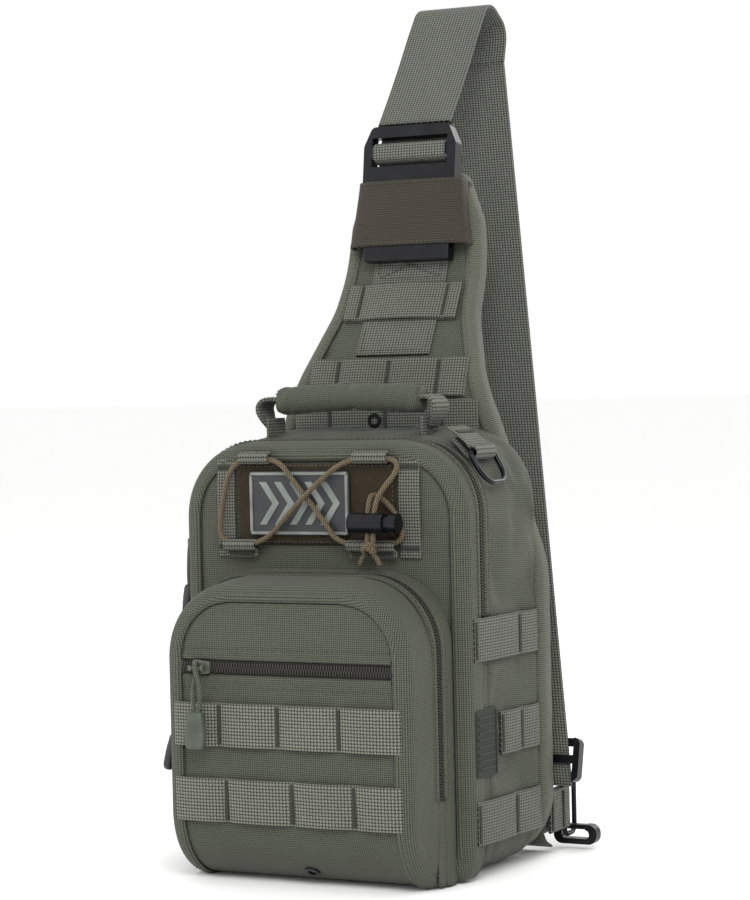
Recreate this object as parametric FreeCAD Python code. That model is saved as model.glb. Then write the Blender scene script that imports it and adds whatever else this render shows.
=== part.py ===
import FreeCAD, Part
import math
import os

V = FreeCAD.Vector

# One-strap sling bag. Millimetres, +Z up, +Y towards the wearer's back panel, the front pocket
# faces -Y. The origin is on the floor under the middle of the main compartment.

# ---------------------------------------------------------------- driving dimensions
WEB = 25.0              # width of the load webbing
WEB_T = 1.6             # its thickness
STRAP_W = 50.0          # shoulder strap width
STRAP_T = 2.2           # shoulder strap thickness
FABRIC_T = 3.0          # lined, padded fabric wall
GAP = 0.3               # clearance between pieces of different bodies

BODY_W_BACK = 192.0     # main compartment width at the back panel
BODY_H_BACK = 256.0
BODY_TAPER_W = 10.0     # how much narrower and lower it is at its front seam
BODY_TAPER_H = 7.0
BODY_W_FRONT = BODY_W_BACK - BODY_TAPER_W
BODY_H_FRONT = BODY_H_BACK - BODY_TAPER_H
BODY_DEPTH = 80.0
BODY_R_BOTTOM = 30.0
BODY_R_TOP = 42.0
REAR_WALL_T = 1.6       # single fabric wall behind the compartment, against the back panel
FLOOR_TRIM = 0.1        # cut off the compartment's bottom, so that it stands on a true plane

POCKET_W_FRONT = 154.0
POCKET_W_BACK = 163.0
POCKET_H_FRONT = 171.0
POCKET_H_BACK = 177.0
POCKET_DEPTH = 48.0     # from the main front panel's face to the pocket's face
POCKET_R_TOP = 42.0
POCKET_R_BOTTOM = 25.0
POCKET_BELLY_R = 40.0   # the curve under the pocket, seen from the side

TOP = BODY_H_BACK       # the back panel's and strap's heights are measured from here
BACK_HALF_W = BODY_W_BACK / 2 + 4.5     # back panel, over its binding
BACK_R_BOTTOM = 40.0
SHOULDER_Z = TOP - 80.0         # where the back panel starts to narrow
NECK = (48.0, TOP + 72.0)       # half width and height where it becomes the shoulder pad
PAD_SIDE = (44.0, TOP + 126.0)
PAD_TIP = (32.0, TOP + 156.0)
PAD_BEND_Z = TOP + 25.0         # where the pad starts to lean back
PAD_KNEE = (40.0, TOP + 97.0)   # how far back from the panel, and height, of the upper bend
PAD_TIP_BACK = 48.0
COVER_T = 1.6
FOAM_T = 8.0
MESH_T = 2.4
BINDING_T = 0.6
BINDING_EDGE = 1.5
BINDING_LIP = 9.0

ZIP_W = 8.0             # width of a zip's two coils and visible tape
ZIP_PROUD = 1.0         # how far the coils stand out of the fabric
MAIN_ZIP_BACK = 15.0    # main zip's middle, behind the front seam
SIDE_ROW_HIGH_Z = 137.0 # middle height of the highest side row, which the main zip stops above
MAIN_ZIP_END_Z = SIDE_ROW_HIGH_Z + WEB / 2 + 0.5
POCKET_ZIP_BACK = 32.0  # pocket zip's middle, behind the pocket's face
POCKET_ZIP_END_Z = 50.0
SLIT_Z = 124.0          # height of the slit pocket's zip
SLIT_X0 = -70.0
SLIT_X1 = 73.0
SLIT_BAG_DEPTH = 9.0    # the slit pocket's lining, behind the pocket's face
SLIT_BAG_T = 1.5
FOLD_Z = 181.0          # the main front folds forward here, just above the pocket
POCKET_FOLD_Z = 64.0    # the pocket front folds down here, above the lower webbing row

ROW_UPPER_Z = 91.5      # middle heights of the pocket's webbing rows
ROW_LOWER_Z = 48.5
SIDE_ROWS = ((SIDE_ROW_HIGH_Z, 1.0), (81.5, 30.0), (33.0, 1.0))  # middle height, front end behind the seam
LABEL = (1.0, 27.0, 58.5, 98.0)     # side label: its ends behind the front seam, and its heights
LABEL_T = 1.4

LOOP_PANEL = (-56.0, 49.0, 191.0, 238.5)
LOOP_PANEL_T = 2.6
PATCH = (-46.0, 20.0, 196.5, 234.0)
PATCH_T = 3.0
LASH_STRAPS = ((-69.0, -57.0), (50.5, 64.0))
LASH_TOP = 242.0
CORD_D = 3.0            # shock cord
LOCK_R = 6.0
LOCK_X = (26.0, 48.0)
LOCK_Z = 204.5
LOCK_TRAVEL = 3.0

HANDLE_HALF = 58.0
HANDLE_BACK = 35.0      # the handle's middle, behind the front seam
HANDLE_R = 8.0
HANDLE_PIVOT_Z = TOP + 4.0
HANDLE_Z = HANDLE_PIVOT_Z + 15.0        # middle of the grip
HANDLE_WEB_T = 4.0
HANDLE_ANCHOR_X = 50.0

BUCKLE_T = 8.4
BUCKLE_OFF = 2.6        # buckle's back face, in front of the pad
BUCKLE_WALL = 1.6
SLEEVE_Z = (TOP + 110.0, TOP + 150.0)
SLEEVE_T = 1.3
SLEEVE_ROOM = 0.6       # clearance over the buckle
RING_WIRE = 3.0

FRONT_Y = -BODY_DEPTH / 2
BACK_Y = BODY_DEPTH / 2
HANDLE_Y = FRONT_Y + HANDLE_BACK
STRAP_TOP = (BACK_Y + 107.0, TOP + 268.0)   # Y, Z corners of the strap's fold at the top
STRAP_TURN = (BACK_Y + 133.0, TOP + 252.0)
STRAP_BEND = (-8.0, -29.0)                  # from that turn to where the back leg starts
STRAP_END = (BACK_HALF_W - 16.5, BACK_Y + 18.5, 42.0)   # X, Y, Z of the back leg's lower end
PANEL_Y = FRONT_Y - FABRIC_T            # face of the main front panel
POCKET_Y = PANEL_Y - POCKET_DEPTH       # face of the pocket
MAIN_ZIP_Y = FRONT_Y + MAIN_ZIP_BACK
POCKET_ZIP_Y = POCKET_Y + POCKET_ZIP_BACK
BACK_T = COVER_T + FOAM_T + MESH_T
FAR = 400.0

nodes = {}


# ---------------------------------------------------------------- small tools
def slab(x0, x1, y0, y1, z0, z1):
    return Part.makeBox(x1 - x0, y1 - y0, z1 - z0, V(x0, y0, z0))


def cylinder(start, direction, length, radius):
    return Part.makeCylinder(radius, length, start, direction)


def rounded_edges(points, radii, closed=True):
    """Straight runs through the points, with a tangent arc of the given radius at each."""
    cuts = []
    count = len(points)
    for i, p in enumerate(points):
        is_end = not closed and i in (0, count - 1)
        if radii[i] == 0 or is_end:
            cuts.append((p, None, p))
            continue
        u = (points[i - 1] - p).normalize()
        w = (points[(i + 1) % count] - p).normalize()
        half = u.getAngle(w) / 2
        reach = radii[i] / math.tan(half)
        middle = p + (u + w).normalize() * (radii[i] / math.sin(half) - radii[i])
        cuts.append((p + u * reach, middle, p + w * reach))
    edges = []
    for i in range(count):
        start, middle, end = cuts[i]
        if middle:
            edges.append(Part.Arc(start, middle, end).toShape())
        following = cuts[(i + 1) % count][0]
        if (closed or i < count - 1) and end.distanceToPoint(following) > 1e-6:
            edges.append(Part.LineSegment(end, following).toShape())
    return edges


def prism(points, radii, direction):
    return Part.Face(Part.Wire(rounded_edges(points, radii))).extrude(direction)


def shifted(points, radii, d):
    """A flat line (a, b) moved d to its right, with its bend radii to match."""
    dirs = []
    for (a0, b0), (a1, b1) in zip(points, points[1:]):
        run = math.hypot(a1 - a0, b1 - b0)
        dirs.append(((a1 - a0) / run, (b1 - b0) / run))
    moved = []
    new_radii = []
    for i, (a, b) in enumerate(points):
        before = dirs[max(i - 1, 0)]
        after = dirs[min(i, len(dirs) - 1)]
        na, nb = before[1] + after[1], -before[0] - after[0]
        size = math.hypot(na, nb)
        na, nb = na / size, nb / size
        stretch = d / (na * before[1] - nb * before[0])
        moved.append((a + na * stretch, b + nb * stretch))
        turn = before[0] * after[1] - before[1] * after[0]
        new_radii.append(radii[i] + math.copysign(d, turn) if radii[i] else 0)
    return moved, new_radii


def ribbon(points, radii, t0, t1, place, direction):
    """A band between two offsets of a flat line, extruded: webbing, or a layer of the back."""
    near, near_r = shifted(points, radii, t0)
    far, far_r = shifted(points, radii, t1)
    near = [place(a, b) for a, b in near]
    far = [place(a, b) for a, b in far]
    edges = rounded_edges(near, near_r, False) + rounded_edges(far, far_r, False)
    edges.append(Part.LineSegment(near[0], far[0]).toShape())
    edges.append(Part.LineSegment(near[-1], far[-1]).toShape())
    return Part.Face(Part.Wire(Part.__sortEdges__(edges))).extrude(direction)


def tube(points, radii, diameter):
    """A cord along straight runs joined by tangent arcs."""
    path = Part.Wire(rounded_edges(points, radii, False))
    start = Part.Circle(points[0], points[1] - points[0], diameter / 2).toShape()
    return path.makePipeShell([Part.Wire(start)], True, False)


def cord_radii(points, share=0.45):
    """Each bend as wide as its two runs allow."""
    radii = [0.0]
    for before, p, after in zip(points, points[1:], points[2:]):
        shorter = min(p.distanceToPoint(before), p.distanceToPoint(after))
        half_turn = (p - before).getAngle(after - p) / 2
        radii.append(share * shorter / math.tan(half_turn))
    return radii + [0.0]


def closed_wire_ring(points, radii, diameter):
    """A bent metal ring: round wire along a closed rounded outline."""
    path = Part.Wire(rounded_edges(points, radii))
    first = path.Edges[0]
    start = first.valueAt(first.FirstParameter)
    along = first.tangentAt(first.FirstParameter)
    section = Part.Wire(Part.Circle(start, along, diameter / 2).toShape())
    return path.makePipeShell([section], True, False)


def moved(shape, angle=0.0, axis=V(0, 0, 1), centre=V(0, 0, 0), shift=V(0, 0, 0)):
    copy = shape.copy()
    copy.rotate(centre, axis, angle)
    copy.translate(shift)
    return copy


def mirrored(shape):
    return shape.mirror(V(0, 0, 0), V(1, 0, 0))


def solid_of(shape):
    """One clean solid, or a compound of the separate solids of a group."""
    solids = shape.removeSplitter().Solids
    return solids[0] if len(solids) == 1 else Part.makeCompound(solids)


# ---------------------------------------------------------------- outlines of the body and pocket
def outline(half_w, height, r_bottom, r_top, y, inset=0.0, floor=0.0):
    w = half_w - inset
    low = floor + inset
    points = [V(-w, y, low), V(w, y, low), V(w, y, height - inset), V(-w, y, height - inset)]
    radii = [r_bottom - inset, r_bottom - inset, r_top - inset, r_top - inset]
    return Part.Wire(rounded_edges(points, radii))


def body_core(inset):
    """The main compartment's outer form, moved in by inset."""
    radii = (BODY_R_BOTTOM, BODY_R_TOP)
    front = outline(BODY_W_FRONT / 2, BODY_H_FRONT, *radii, FRONT_Y, inset, -FLOOR_TRIM)
    back = outline(BODY_W_BACK / 2, BODY_H_BACK, *radii, BACK_Y, inset, -FLOOR_TRIM)
    return Part.makeLoft([front, back], True, True)


def pocket_core(inset):
    """The pocket's outer form from its face to the main panel, moved in by inset."""
    half_front = POCKET_W_FRONT / 2
    half_back = POCKET_W_BACK / 2
    front = outline(half_front, POCKET_H_FRONT, POCKET_R_BOTTOM, POCKET_R_TOP, POCKET_Y, inset)
    back = outline(half_back, POCKET_H_BACK, POCKET_R_BOTTOM, POCKET_R_TOP, PANEL_Y, inset)
    return Part.makeLoft([front, back], True, True)


def belly(face_y, floor):
    """Side profile of the pocket, rounded underneath, extruded over the whole width."""
    r = POCKET_BELLY_R - floor
    points = [V(-FAR, PANEL_Y + 1, floor), V(-FAR, face_y, floor), V(-FAR, face_y, FAR),
              V(-FAR, PANEL_Y + 1, FAR)]
    return prism(points, [0, r, 0, 0], V(2 * FAR, 0, 0))


# ---------------------------------------------------------------- back panel and shoulder pad
BACK_LINE = [(BACK_Y, 0.0), (BACK_Y, PAD_BEND_Z), (BACK_Y + PAD_KNEE[0], PAD_KNEE[1]),
             (BACK_Y + PAD_TIP_BACK, PAD_TIP[1])]
BACK_RADII = [0, 60.0, 70.0, 0]
PAD_LEAN = math.degrees(math.atan2(PAD_TIP_BACK - PAD_KNEE[0], PAD_TIP[1] - PAD_KNEE[1]))


def back_layer(t0, t1):
    """A layer that follows the back panel up into the leaning pad."""
    return ribbon(BACK_LINE, BACK_RADII, t0, t1, lambda a, b: V(-FAR, a, b), V(2 * FAR, 0, 0))


def back_prism(inset):
    half = [(BACK_HALF_W, 0.0), (BACK_HALF_W, SHOULDER_Z), NECK, PAD_SIDE, PAD_TIP]
    radii = [BACK_R_BOTTOM, 80.0, 50.0, 25.0, 6.0]
    right = [V(x, -FAR, z) for x, z in half]
    left = [V(-x, -FAR, z) for x, z in reversed(half)]
    wire = Part.Wire(rounded_edges(right + left, radii + radii[::-1]))
    if inset:
        wire = wire.makeOffset2D(-inset)
    return Part.Face(wire).extrude(V(0, 2 * FAR, 0))


def on_pad(shape):
    """Place a shape drawn upright in front of the pad's straight top."""
    return moved(shape, -PAD_LEAN, V(1, 0, 0), V(0, 0, 0), V(0, BACK_Y + PAD_KNEE[0], PAD_KNEE[1]))


PAD_ROW_GAP = 0.5
PAD_ROW_HIGH = TOP + 75.5
PAD_ROW_LOW = TOP + 4.5
PAD_ROW_MIDDLE = PAD_ROW_LOW + WEB + PAD_ROW_GAP
PAD_ROWS = ((PAD_ROW_HIGH, 2 * WEB_T), (PAD_ROW_MIDDLE, WEB_T), (PAD_ROW_LOW, WEB_T))   # height, thickness
EYELET = V(-7.0, 0.0, PAD_ROW_LOW + 0.5)
EYELET_BORE = 2.2
EYELET_R = 3.2
EYELET_RIM_R = 4.4
EYELET_RIM_T = 1.2


def make_back():
    core = back_prism(BINDING_EDGE)
    eyelet_hole = cylinder(V(EYELET.x, 0, EYELET.z), V(0, 1, 0), FAR, EYELET_R)
    steps = [0.0, COVER_T, COVER_T + FOAM_T, BACK_T]
    names = ["back_cover", "back_foam", "back_mesh"]
    for name, t0, t1 in zip(names, steps, steps[1:]):
        nodes[name] = core.common(back_layer(t0, t1)).cut(eyelet_hole)
    wrap = back_prism(0).common(back_layer(-BINDING_T, BACK_T + BINDING_T))
    nodes["back_binding"] = wrap.cut(core.common(back_layer(0, BACK_T))).cut(back_prism(BINDING_LIP))


# ---------------------------------------------------------------- webbing rows on the pad
def make_pad_webbing():
    inner = back_prism(BINDING_LIP + GAP)
    low = PAD_ROW_MIDDLE + WEB / 2 + PAD_ROW_GAP
    centre = slab(-STRAP_W / 2, STRAP_W / 2, -FAR, FAR, low, PAD_TIP[1] - 12.0)
    upright = back_layer(-WEB_T, 0).common(centre).common(inner)
    rows = [upright]
    for z, thick in PAD_ROWS:
        row = slab(-FAR, FAR, -FAR, FAR, z - WEB / 2, z + WEB / 2)
        rows.append(back_layer(-thick, 0).common(inner).common(row).cut(upright).cut(body_core(0)))
    hole = cylinder(V(EYELET.x, 0, EYELET.z), V(0, 1, 0), FAR, EYELET_R)
    nodes["pad_webbing"] = Part.makeCompound([s for r in rows for s in r.cut(hole).Solids])
    front = BACK_Y - WEB_T - EYELET_RIM_T
    behind = BACK_Y + BACK_T
    length = behind + EYELET_RIM_T - front
    along = V(0, 1, 0)
    barrel = cylinder(V(EYELET.x, front, EYELET.z), along, length, EYELET_R)
    flange = cylinder(V(EYELET.x, front, EYELET.z), along, EYELET_RIM_T, EYELET_RIM_R)
    washer = cylinder(V(EYELET.x, behind, EYELET.z), along, EYELET_RIM_T, EYELET_RIM_R)
    bore = cylinder(V(EYELET.x, 0, EYELET.z), V(0, 1, 0), FAR, EYELET_BORE)
    nodes["pad_eyelet"] = barrel.fuse([flange, washer]).cut(bore)


SLEEVE_HALF = (STRAP_W / 2 + 16.0, STRAP_W / 2 + 10.5)  # half width at its lower and upper edge
SLEEVE_HEM = 2.5


def make_sleeve():
    top = SLEEVE_Z[1]
    low = SLEEVE_Z[0]
    inner_t = BUCKLE_OFF + BUCKLE_T + SLEEVE_ROOM
    outer_t = inner_t + SLEEVE_T
    wide, narrow = SLEEVE_HALF
    outer = prism([V(-wide, -FAR, low), V(wide, -FAR, low), V(narrow, -FAR, top), V(-narrow, -FAR, top)],
                  [0] * 4, V(0, 2 * FAR, 0))
    wide, narrow = wide - SLEEVE_HEM, narrow - SLEEVE_HEM
    inner = prism([V(-wide, -FAR, low - 1), V(wide, -FAR, low - 1), V(narrow, -FAR, top + 1),
                   V(-narrow, -FAR, top + 1)], [0] * 4, V(0, 2 * FAR, 0))
    shell = back_layer(-outer_t, -BINDING_T).common(outer)
    nodes["elastic_sleeve"] = shell.cut(back_layer(-inner_t, 0).common(inner))


# ---------------------------------------------------------------- side-release buckle on the pad
SOCKET_HALF = STRAP_W / 2 + 4.0
SOCKET_TOP = 46.0
PLUG_HALF = STRAP_W / 2 + 6.5
STRAP_SLACK = 0.8               # room at each end of the strap's slots
PLUG_BASE = (47.0, 88.0)
PRONG_PIVOT = (15.0, 52.0)      # X and height, in the buckle's own frame


def make_buckle():
    back = -BUCKLE_OFF
    front = -BUCKLE_OFF - BUCKLE_T
    wall = BUCKLE_WALL
    socket = slab(-SOCKET_HALF, SOCKET_HALF, front, back, 4.0, SOCKET_TOP)
    cavity = slab(-SOCKET_HALF + 3, SOCKET_HALF - 3, front + wall, back - wall, 8.0, SOCKET_TOP + 1)
    windows = slab(-FAR, FAR, front + wall, back - wall, 11.0, SOCKET_TOP + 1)
    nodes["buckle_socket"] = on_pad(socket.cut(cavity).cut(windows))
    low, high = PLUG_BASE
    base = prism([V(-PLUG_HALF, front, low), V(PLUG_HALF, front, low), V(PLUG_HALF, front, 76),
                  V(PLUG_HALF - 5.5, front, high), V(5.5 - PLUG_HALF, front, high), V(-PLUG_HALF, front, 76)],
                 [3, 3, 6, 4, 4, 6], V(0, BUCKLE_T, 0))
    slot = STRAP_W / 2 + STRAP_SLACK
    for z0, z1 in ((63.0, 68.5), (75.5, 81.0)):
        base = base.cut(slab(-slot, slot, -FAR, FAR, z0, z1))
    tongue = slab(-7, 7, front + wall + GAP, back - wall - GAP, 12.0, low + 1)
    room = slab(-24, 24, front + wall, back - wall, low - 1, PRONG_PIVOT[1] + 3)
    nodes["buckle_plug"] = on_pad(base.cut(room.cut(slab(-9, 9, -FAR, FAR, 0, FAR))).fuse(tongue))
    for name, side in (("buckle_prong_right", 1), ("buckle_prong_left", -1)):
        arm = prism([V(11, front + wall + GAP, 52.5), V(11, front + wall + GAP, 47),
                     V(18.5, front + wall + GAP, 14), V(22, front + wall + GAP, 9),
                     V(28.2, front + wall + GAP, 19), V(28.2, front + wall + GAP, 28),
                     V(24, front + wall + GAP, 29), V(19, front + wall + GAP, 52.5)],
                    [0, 0, 3, 1.5, 2, 1, 1, 0], V(0, BUCKLE_T - 2 * wall - 2 * GAP, 0))
        nodes[name] = on_pad(arm if side > 0 else mirrored(arm))


# ---------------------------------------------------------------- shoulder strap
def strap_section(centre, normal):
    """The strap's end as a rectangle across X, with its thickness along the normal."""
    half = normal * (STRAP_T / 2)
    side = V(STRAP_W / 2, 0, 0)
    corners = [centre - side - half, centre + side - half, centre + side + half, centre - side + half]
    return Part.makePolygon(corners + corners[:1])


def make_strap():
    start = (BACK_Y + PAD_KNEE[0] + 6.6, PAD_KNEE[1] + PLUG_BASE[1] + 1.5)
    leg = (STRAP_TOP[0] - start[0], STRAP_TOP[1] - start[1])
    split = (start[0] + leg[0] * 0.72, start[1] + leg[1] * 0.72)
    end = (STRAP_TURN[0] + STRAP_BEND[0], STRAP_TURN[1] + STRAP_BEND[1])
    half = STRAP_T / 2
    place = lambda a, b: V(-STRAP_W / 2, a, b)
    across = V(STRAP_W, 0, 0)
    nodes["strap_front_leg"] = ribbon([start, split], [0, 0], -half, half, place, across)
    fold = ribbon([split, STRAP_TOP, STRAP_TURN, end], [0, 12.0, 12.0, 0], -half, half, place, across)
    down = V(0, STRAP_TURN[0] - end[0], STRAP_TURN[1] - end[1]).normalize()
    normal = V(0, down.z, -down.y)
    top = strap_section(V(0, end[0], end[1]), normal)
    bottom = strap_section(V(*STRAP_END), normal)
    leg_back = Part.makeLoft([top, bottom], True, True)
    nodes["shoulder_strap"] = fold.fuse(leg_back)


# ---------------------------------------------------------------- lower corner: adjuster, tab, hook
ADJUSTER_HALF = (STRAP_W / 2 + 7.0, 13.0)    # half width and half height of the strap's tri-glide
ADJUSTER_BAR = (5.0, 2.0)       # its bars' height and thickness
ADJUSTER_UP = 16.0              # its middle, above the strap's end
TAB_Z = 26.0
TAIL_GAP = 2.1                  # between the strap's tail and the tab beside it
TAB_X = BACK_HALF_W - 7.5
TAB_BACK = BACK_Y + 42.0        # Y of the ring's upright bar
RING_DROP = 5.0                 # how far the ring reaches past the tab, and its bend radius
RING_REACH = 15.0


def strap_frame(shape):
    """Place a shape drawn upright at the origin on the strap's lower end."""
    top = V(0, STRAP_TURN[0] + STRAP_BEND[0], STRAP_TURN[1] + STRAP_BEND[1])
    along = top - V(*STRAP_END)
    lean = math.degrees(math.atan2(-along.y, along.z))
    place = V(*STRAP_END) + along.normalize() * ADJUSTER_UP
    return moved(shape, lean, V(1, 0, 0), V(0, 0, 0), place)


def make_adjuster():
    """A tri-glide: the strap runs behind its middle bar and in front of its outer bars."""
    w, h = ADJUSTER_HALF
    bar, thick = ADJUSTER_BAR
    near = STRAP_T / 2 + GAP
    y = near + thick
    frame = prism([V(-w, -y, -h), V(w, -y, -h), V(w, -y, h), V(-w, -y, h)], [4] * 4, V(0, 2 * y, 0))
    window = slab(-w + 4, w - 4, -FAR, FAR, -h + bar, h - bar)
    passage = slab(-w + 4, w - 4, -FAR, near, -FAR, FAR)
    middle = slab(-w + 3, w - 3, -y, -near, -bar / 2, bar / 2)
    nodes["strap_adjuster"] = strap_frame(frame.cut(window).cut(passage).fuse(middle))
    line = [(0, -0.5), (0, -22.0), (9.0, -36.0), (17.5, -39.6)]
    tail = ribbon(line, [0, 12, 12, 0], -WEB_T / 2, WEB_T / 2, lambda a, b: V(-WEB / 2, a, b), V(WEB, 0, 0))
    tab_half = RING_WIRE / 2 + GAP + WEB_T
    x = TAB_X - tab_half - TAIL_GAP - WEB / 2
    nodes["strap_end_webbing"] = moved(tail, shift=V(x, STRAP_END[1], STRAP_END[2]))


def make_corner():
    half = WEB / 2
    inner = RING_WIRE / 2 + GAP
    loop = cylinder(V(TAB_X, TAB_BACK, TAB_Z - half), V(0, 0, 1), WEB, inner + WEB_T)
    legs = slab(TAB_X - inner - WEB_T, TAB_X + inner + WEB_T, BACK_Y + BACK_T + BINDING_T, TAB_BACK,
                TAB_Z - half, TAB_Z + half)
    hole = cylinder(V(TAB_X, TAB_BACK, 0), V(0, 0, 1), FAR, inner)
    slot = slab(TAB_X - 0.8, TAB_X + 0.8, BACK_Y + BACK_T + 6, TAB_BACK, 0, FAR)
    nodes["corner_tab"] = loop.fuse(legs).cut(hole).cut(slot)
    z0, z1 = TAB_Z - half - RING_DROP, TAB_Z + half + RING_DROP
    far = TAB_BACK + RING_REACH
    nodes["corner_ring"] = closed_wire_ring([V(TAB_X, TAB_BACK, z0), V(TAB_X, far, z0), V(TAB_X, far, z1),
                                             V(TAB_X, TAB_BACK, z1)], [RING_DROP] * 4, RING_WIRE)


HOOK = V(TAB_X, TAB_BACK + RING_REACH / 2, TAB_Z - WEB / 2 - RING_DROP)
HOOK_T = 7.0


def make_hook():
    """A plastic snap hook that hangs on the ring's lower bar, and its gate."""
    half = 6.0
    body = prism([V(-9, 0, -half), V(19, 0, -half), V(19, 0, half), V(-9, 0, half)], [5.5] * 4, V(0, HOOK_T, 0))
    eye = prism([V(-4, 0, -2.6), V(14, 0, -2.6), V(14, 0, 2.6), V(-4, 0, 2.6)], [2.4] * 4, V(0, HOOK_T, 0))
    gate_gap = slab(-3.2, 11.5, -1, HOOK_T + 1, 2.0, half + 1)
    gate = slab(-2.2, 11.2, 1.0, HOOK_T - 1.0, 3.0, 5.8)
    shift = HOOK - V(0, HOOK_T / 2, 0)
    nodes["snap_hook"] = moved(body.cut(eye).cut(gate_gap), shift=shift)
    nodes["snap_hook_gate"] = moved(gate, shift=shift)


# ---------------------------------------------------------------- zips
def zip_halves(core, y, end_z, fold_z):
    """The two coils of a zip that runs round a core, split for the part that folds away."""
    band = core(-ZIP_PROUD).cut(core(ZIP_PROUD))
    half = ZIP_W / 2
    fixed = band.common(slab(-FAR, FAR, y + GAP / 2, y + half, end_z, FAR))
    lower = band.common(slab(-FAR, FAR, y - half, y + GAP / 2, end_z, fold_z))
    folding = band.common(slab(-FAR, FAR, y - half, y - GAP / 2, fold_z + GAP, FAR))
    return fixed.fuse(lower), folding


def slider_plate():
    return prism([V(-3.4, -GAP - 1.6, -6), V(3.4, -GAP - 1.6, -6), V(4.6, -GAP - 1.6, 5),
                  V(-4.6, -GAP - 1.6, 5)], [1, 1, 2, 2], V(0, 1.6, 0))


def upright_slider():
    """A slider that runs along Z and faces -Y; the pull's cord goes through its bridge along X."""
    bridge = prism([V(-1.4, -GAP - 1.5, -4), V(-1.4, -7.2, -3.2), V(-1.4, -7.2, 3.2),
                    V(-1.4, -GAP - 1.5, 4)], [0, 1.5, 1.5, 0], V(2.8, 0, 0))
    hole = cylinder(V(-5, PULL_Y, 0), V(1, 0, 0), 10, PULL_D / 2 + GAP)
    return slider_plate().fuse(bridge).cut(hole)


def level_slider():
    """A slider that runs along X; its bridge is a round bar, which the pull's cord goes round."""
    plate = moved(slider_plate(), -90.0, V(0, 1, 0))
    bar = cylinder(V(-4.0, LEVEL_BAR_Y, 0), V(1, 0, 0), 8.0, LEVEL_BAR_R)
    reach = LEVEL_BAR_Y - LEVEL_BAR_R - 0.4
    posts = [slab(x - 0.9, x + 0.9, reach, -GAP - 1.0, -1.4, 1.4) for x in (-4.0, 4.0)]
    return plate.fuse([bar] + posts)


def upright_loop():
    """The pull's cord through an upright slider's bridge."""
    return [V(-3.2, PULL_Y, -PULL_CORD), V(-3.2, PULL_Y, 0), V(3.2, PULL_Y, 0), V(3.2, PULL_Y, -PULL_CORD)]


def level_loop():
    """The pull's cord round a level slider's bar."""
    near, far = LEVEL_BAR_Y + 2.4, LEVEL_BAR_Y - 2.4
    return [V(0, near, -PULL_CORD), V(0, near, 2.4), V(0, far, 2.4), V(0, far, -PULL_CORD)]


def pull_grip(y):
    low = -PULL_CORD - PULL_GRIP
    half = [(5.0, low, 2), (6.2, low + 6, 3), (6.2, low + 15, 3), (4.6, -PULL_CORD, 2)]
    points = [V(x, y - 3, z) for x, z, r in half] + [V(-x, y - 3, z) for x, z, r in reversed(half)]
    radii = [r for x, z, r in half] + [r for x, z, r in reversed(half)]
    return prism(points, radii, V(0, 6, 0))


PULL_Y = -4.6
PULL_D = 2.6
PULL_CORD = 25.0
PULL_GRIP = 21.5
LEVEL_BAR_Y = -6.0
LEVEL_BAR_R = 0.8

MAIN_SIDE = BODY_W_FRONT / 2 + BODY_TAPER_W / 2 * MAIN_ZIP_BACK / BODY_DEPTH    # half width at each zip
POCKET_SIDE = POCKET_W_FRONT / 2 + (POCKET_W_BACK - POCKET_W_FRONT) / 2 * POCKET_ZIP_BACK / POCKET_DEPTH
SLIDERS = {                     # place, turn about Z, how far the pull swings out at rest
    "main": (V(-MAIN_SIDE - 2.4625, MAIN_ZIP_Y, 190.0), -90.0, 4.0),
    "pocket": (V(-POCKET_SIDE - 1.6, POCKET_ZIP_Y, 104.0), -90.0, 14.0),
    "slit": (V(-54.0, POCKET_Y - 1.2, SLIT_Z), 0.0, 4.0),
}


def make_zips():
    fixed, folding = zip_halves(body_core, MAIN_ZIP_Y, MAIN_ZIP_END_Z, FOLD_Z)
    nodes["main_zip_rear"] = fixed
    nodes["main_zip_front"] = folding
    fixed, folding = zip_halves(pocket_core, POCKET_ZIP_Y, POCKET_ZIP_END_Z, POCKET_FOLD_Z)
    nodes["pocket_zip_rear"] = fixed
    nodes["pocket_zip_front"] = folding
    half = ZIP_W / 2
    nodes["slit_zip"] = slab(SLIT_X0, SLIT_X1, POCKET_Y - 0.9, POCKET_Y + FABRIC_T - 0.6,
                             SLIT_Z - half, SLIT_Z + half)
    for name, (place, turn, lean) in SLIDERS.items():
        level = name == "slit"
        pivot = V(0, LEVEL_BAR_Y if level else PULL_Y, 0)
        cord = tube(level_loop() if level else upright_loop(), [0, 2.2, 2.2, 0] if level else [0, 1.7, 1.7, 0],
                    PULL_D)
        pieces = {"_pull_cord": moved(cord, -lean, V(1, 0, 0), pivot),
                  "_pull_grip": moved(pull_grip(pivot.y), -lean, V(1, 0, 0), pivot),
                  "_slider": level_slider() if level else upright_slider()}
        for piece, shape in pieces.items():
            nodes[name + piece] = moved(shape, turn, V(0, 0, 1), V(0, 0, 0), place)


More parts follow.
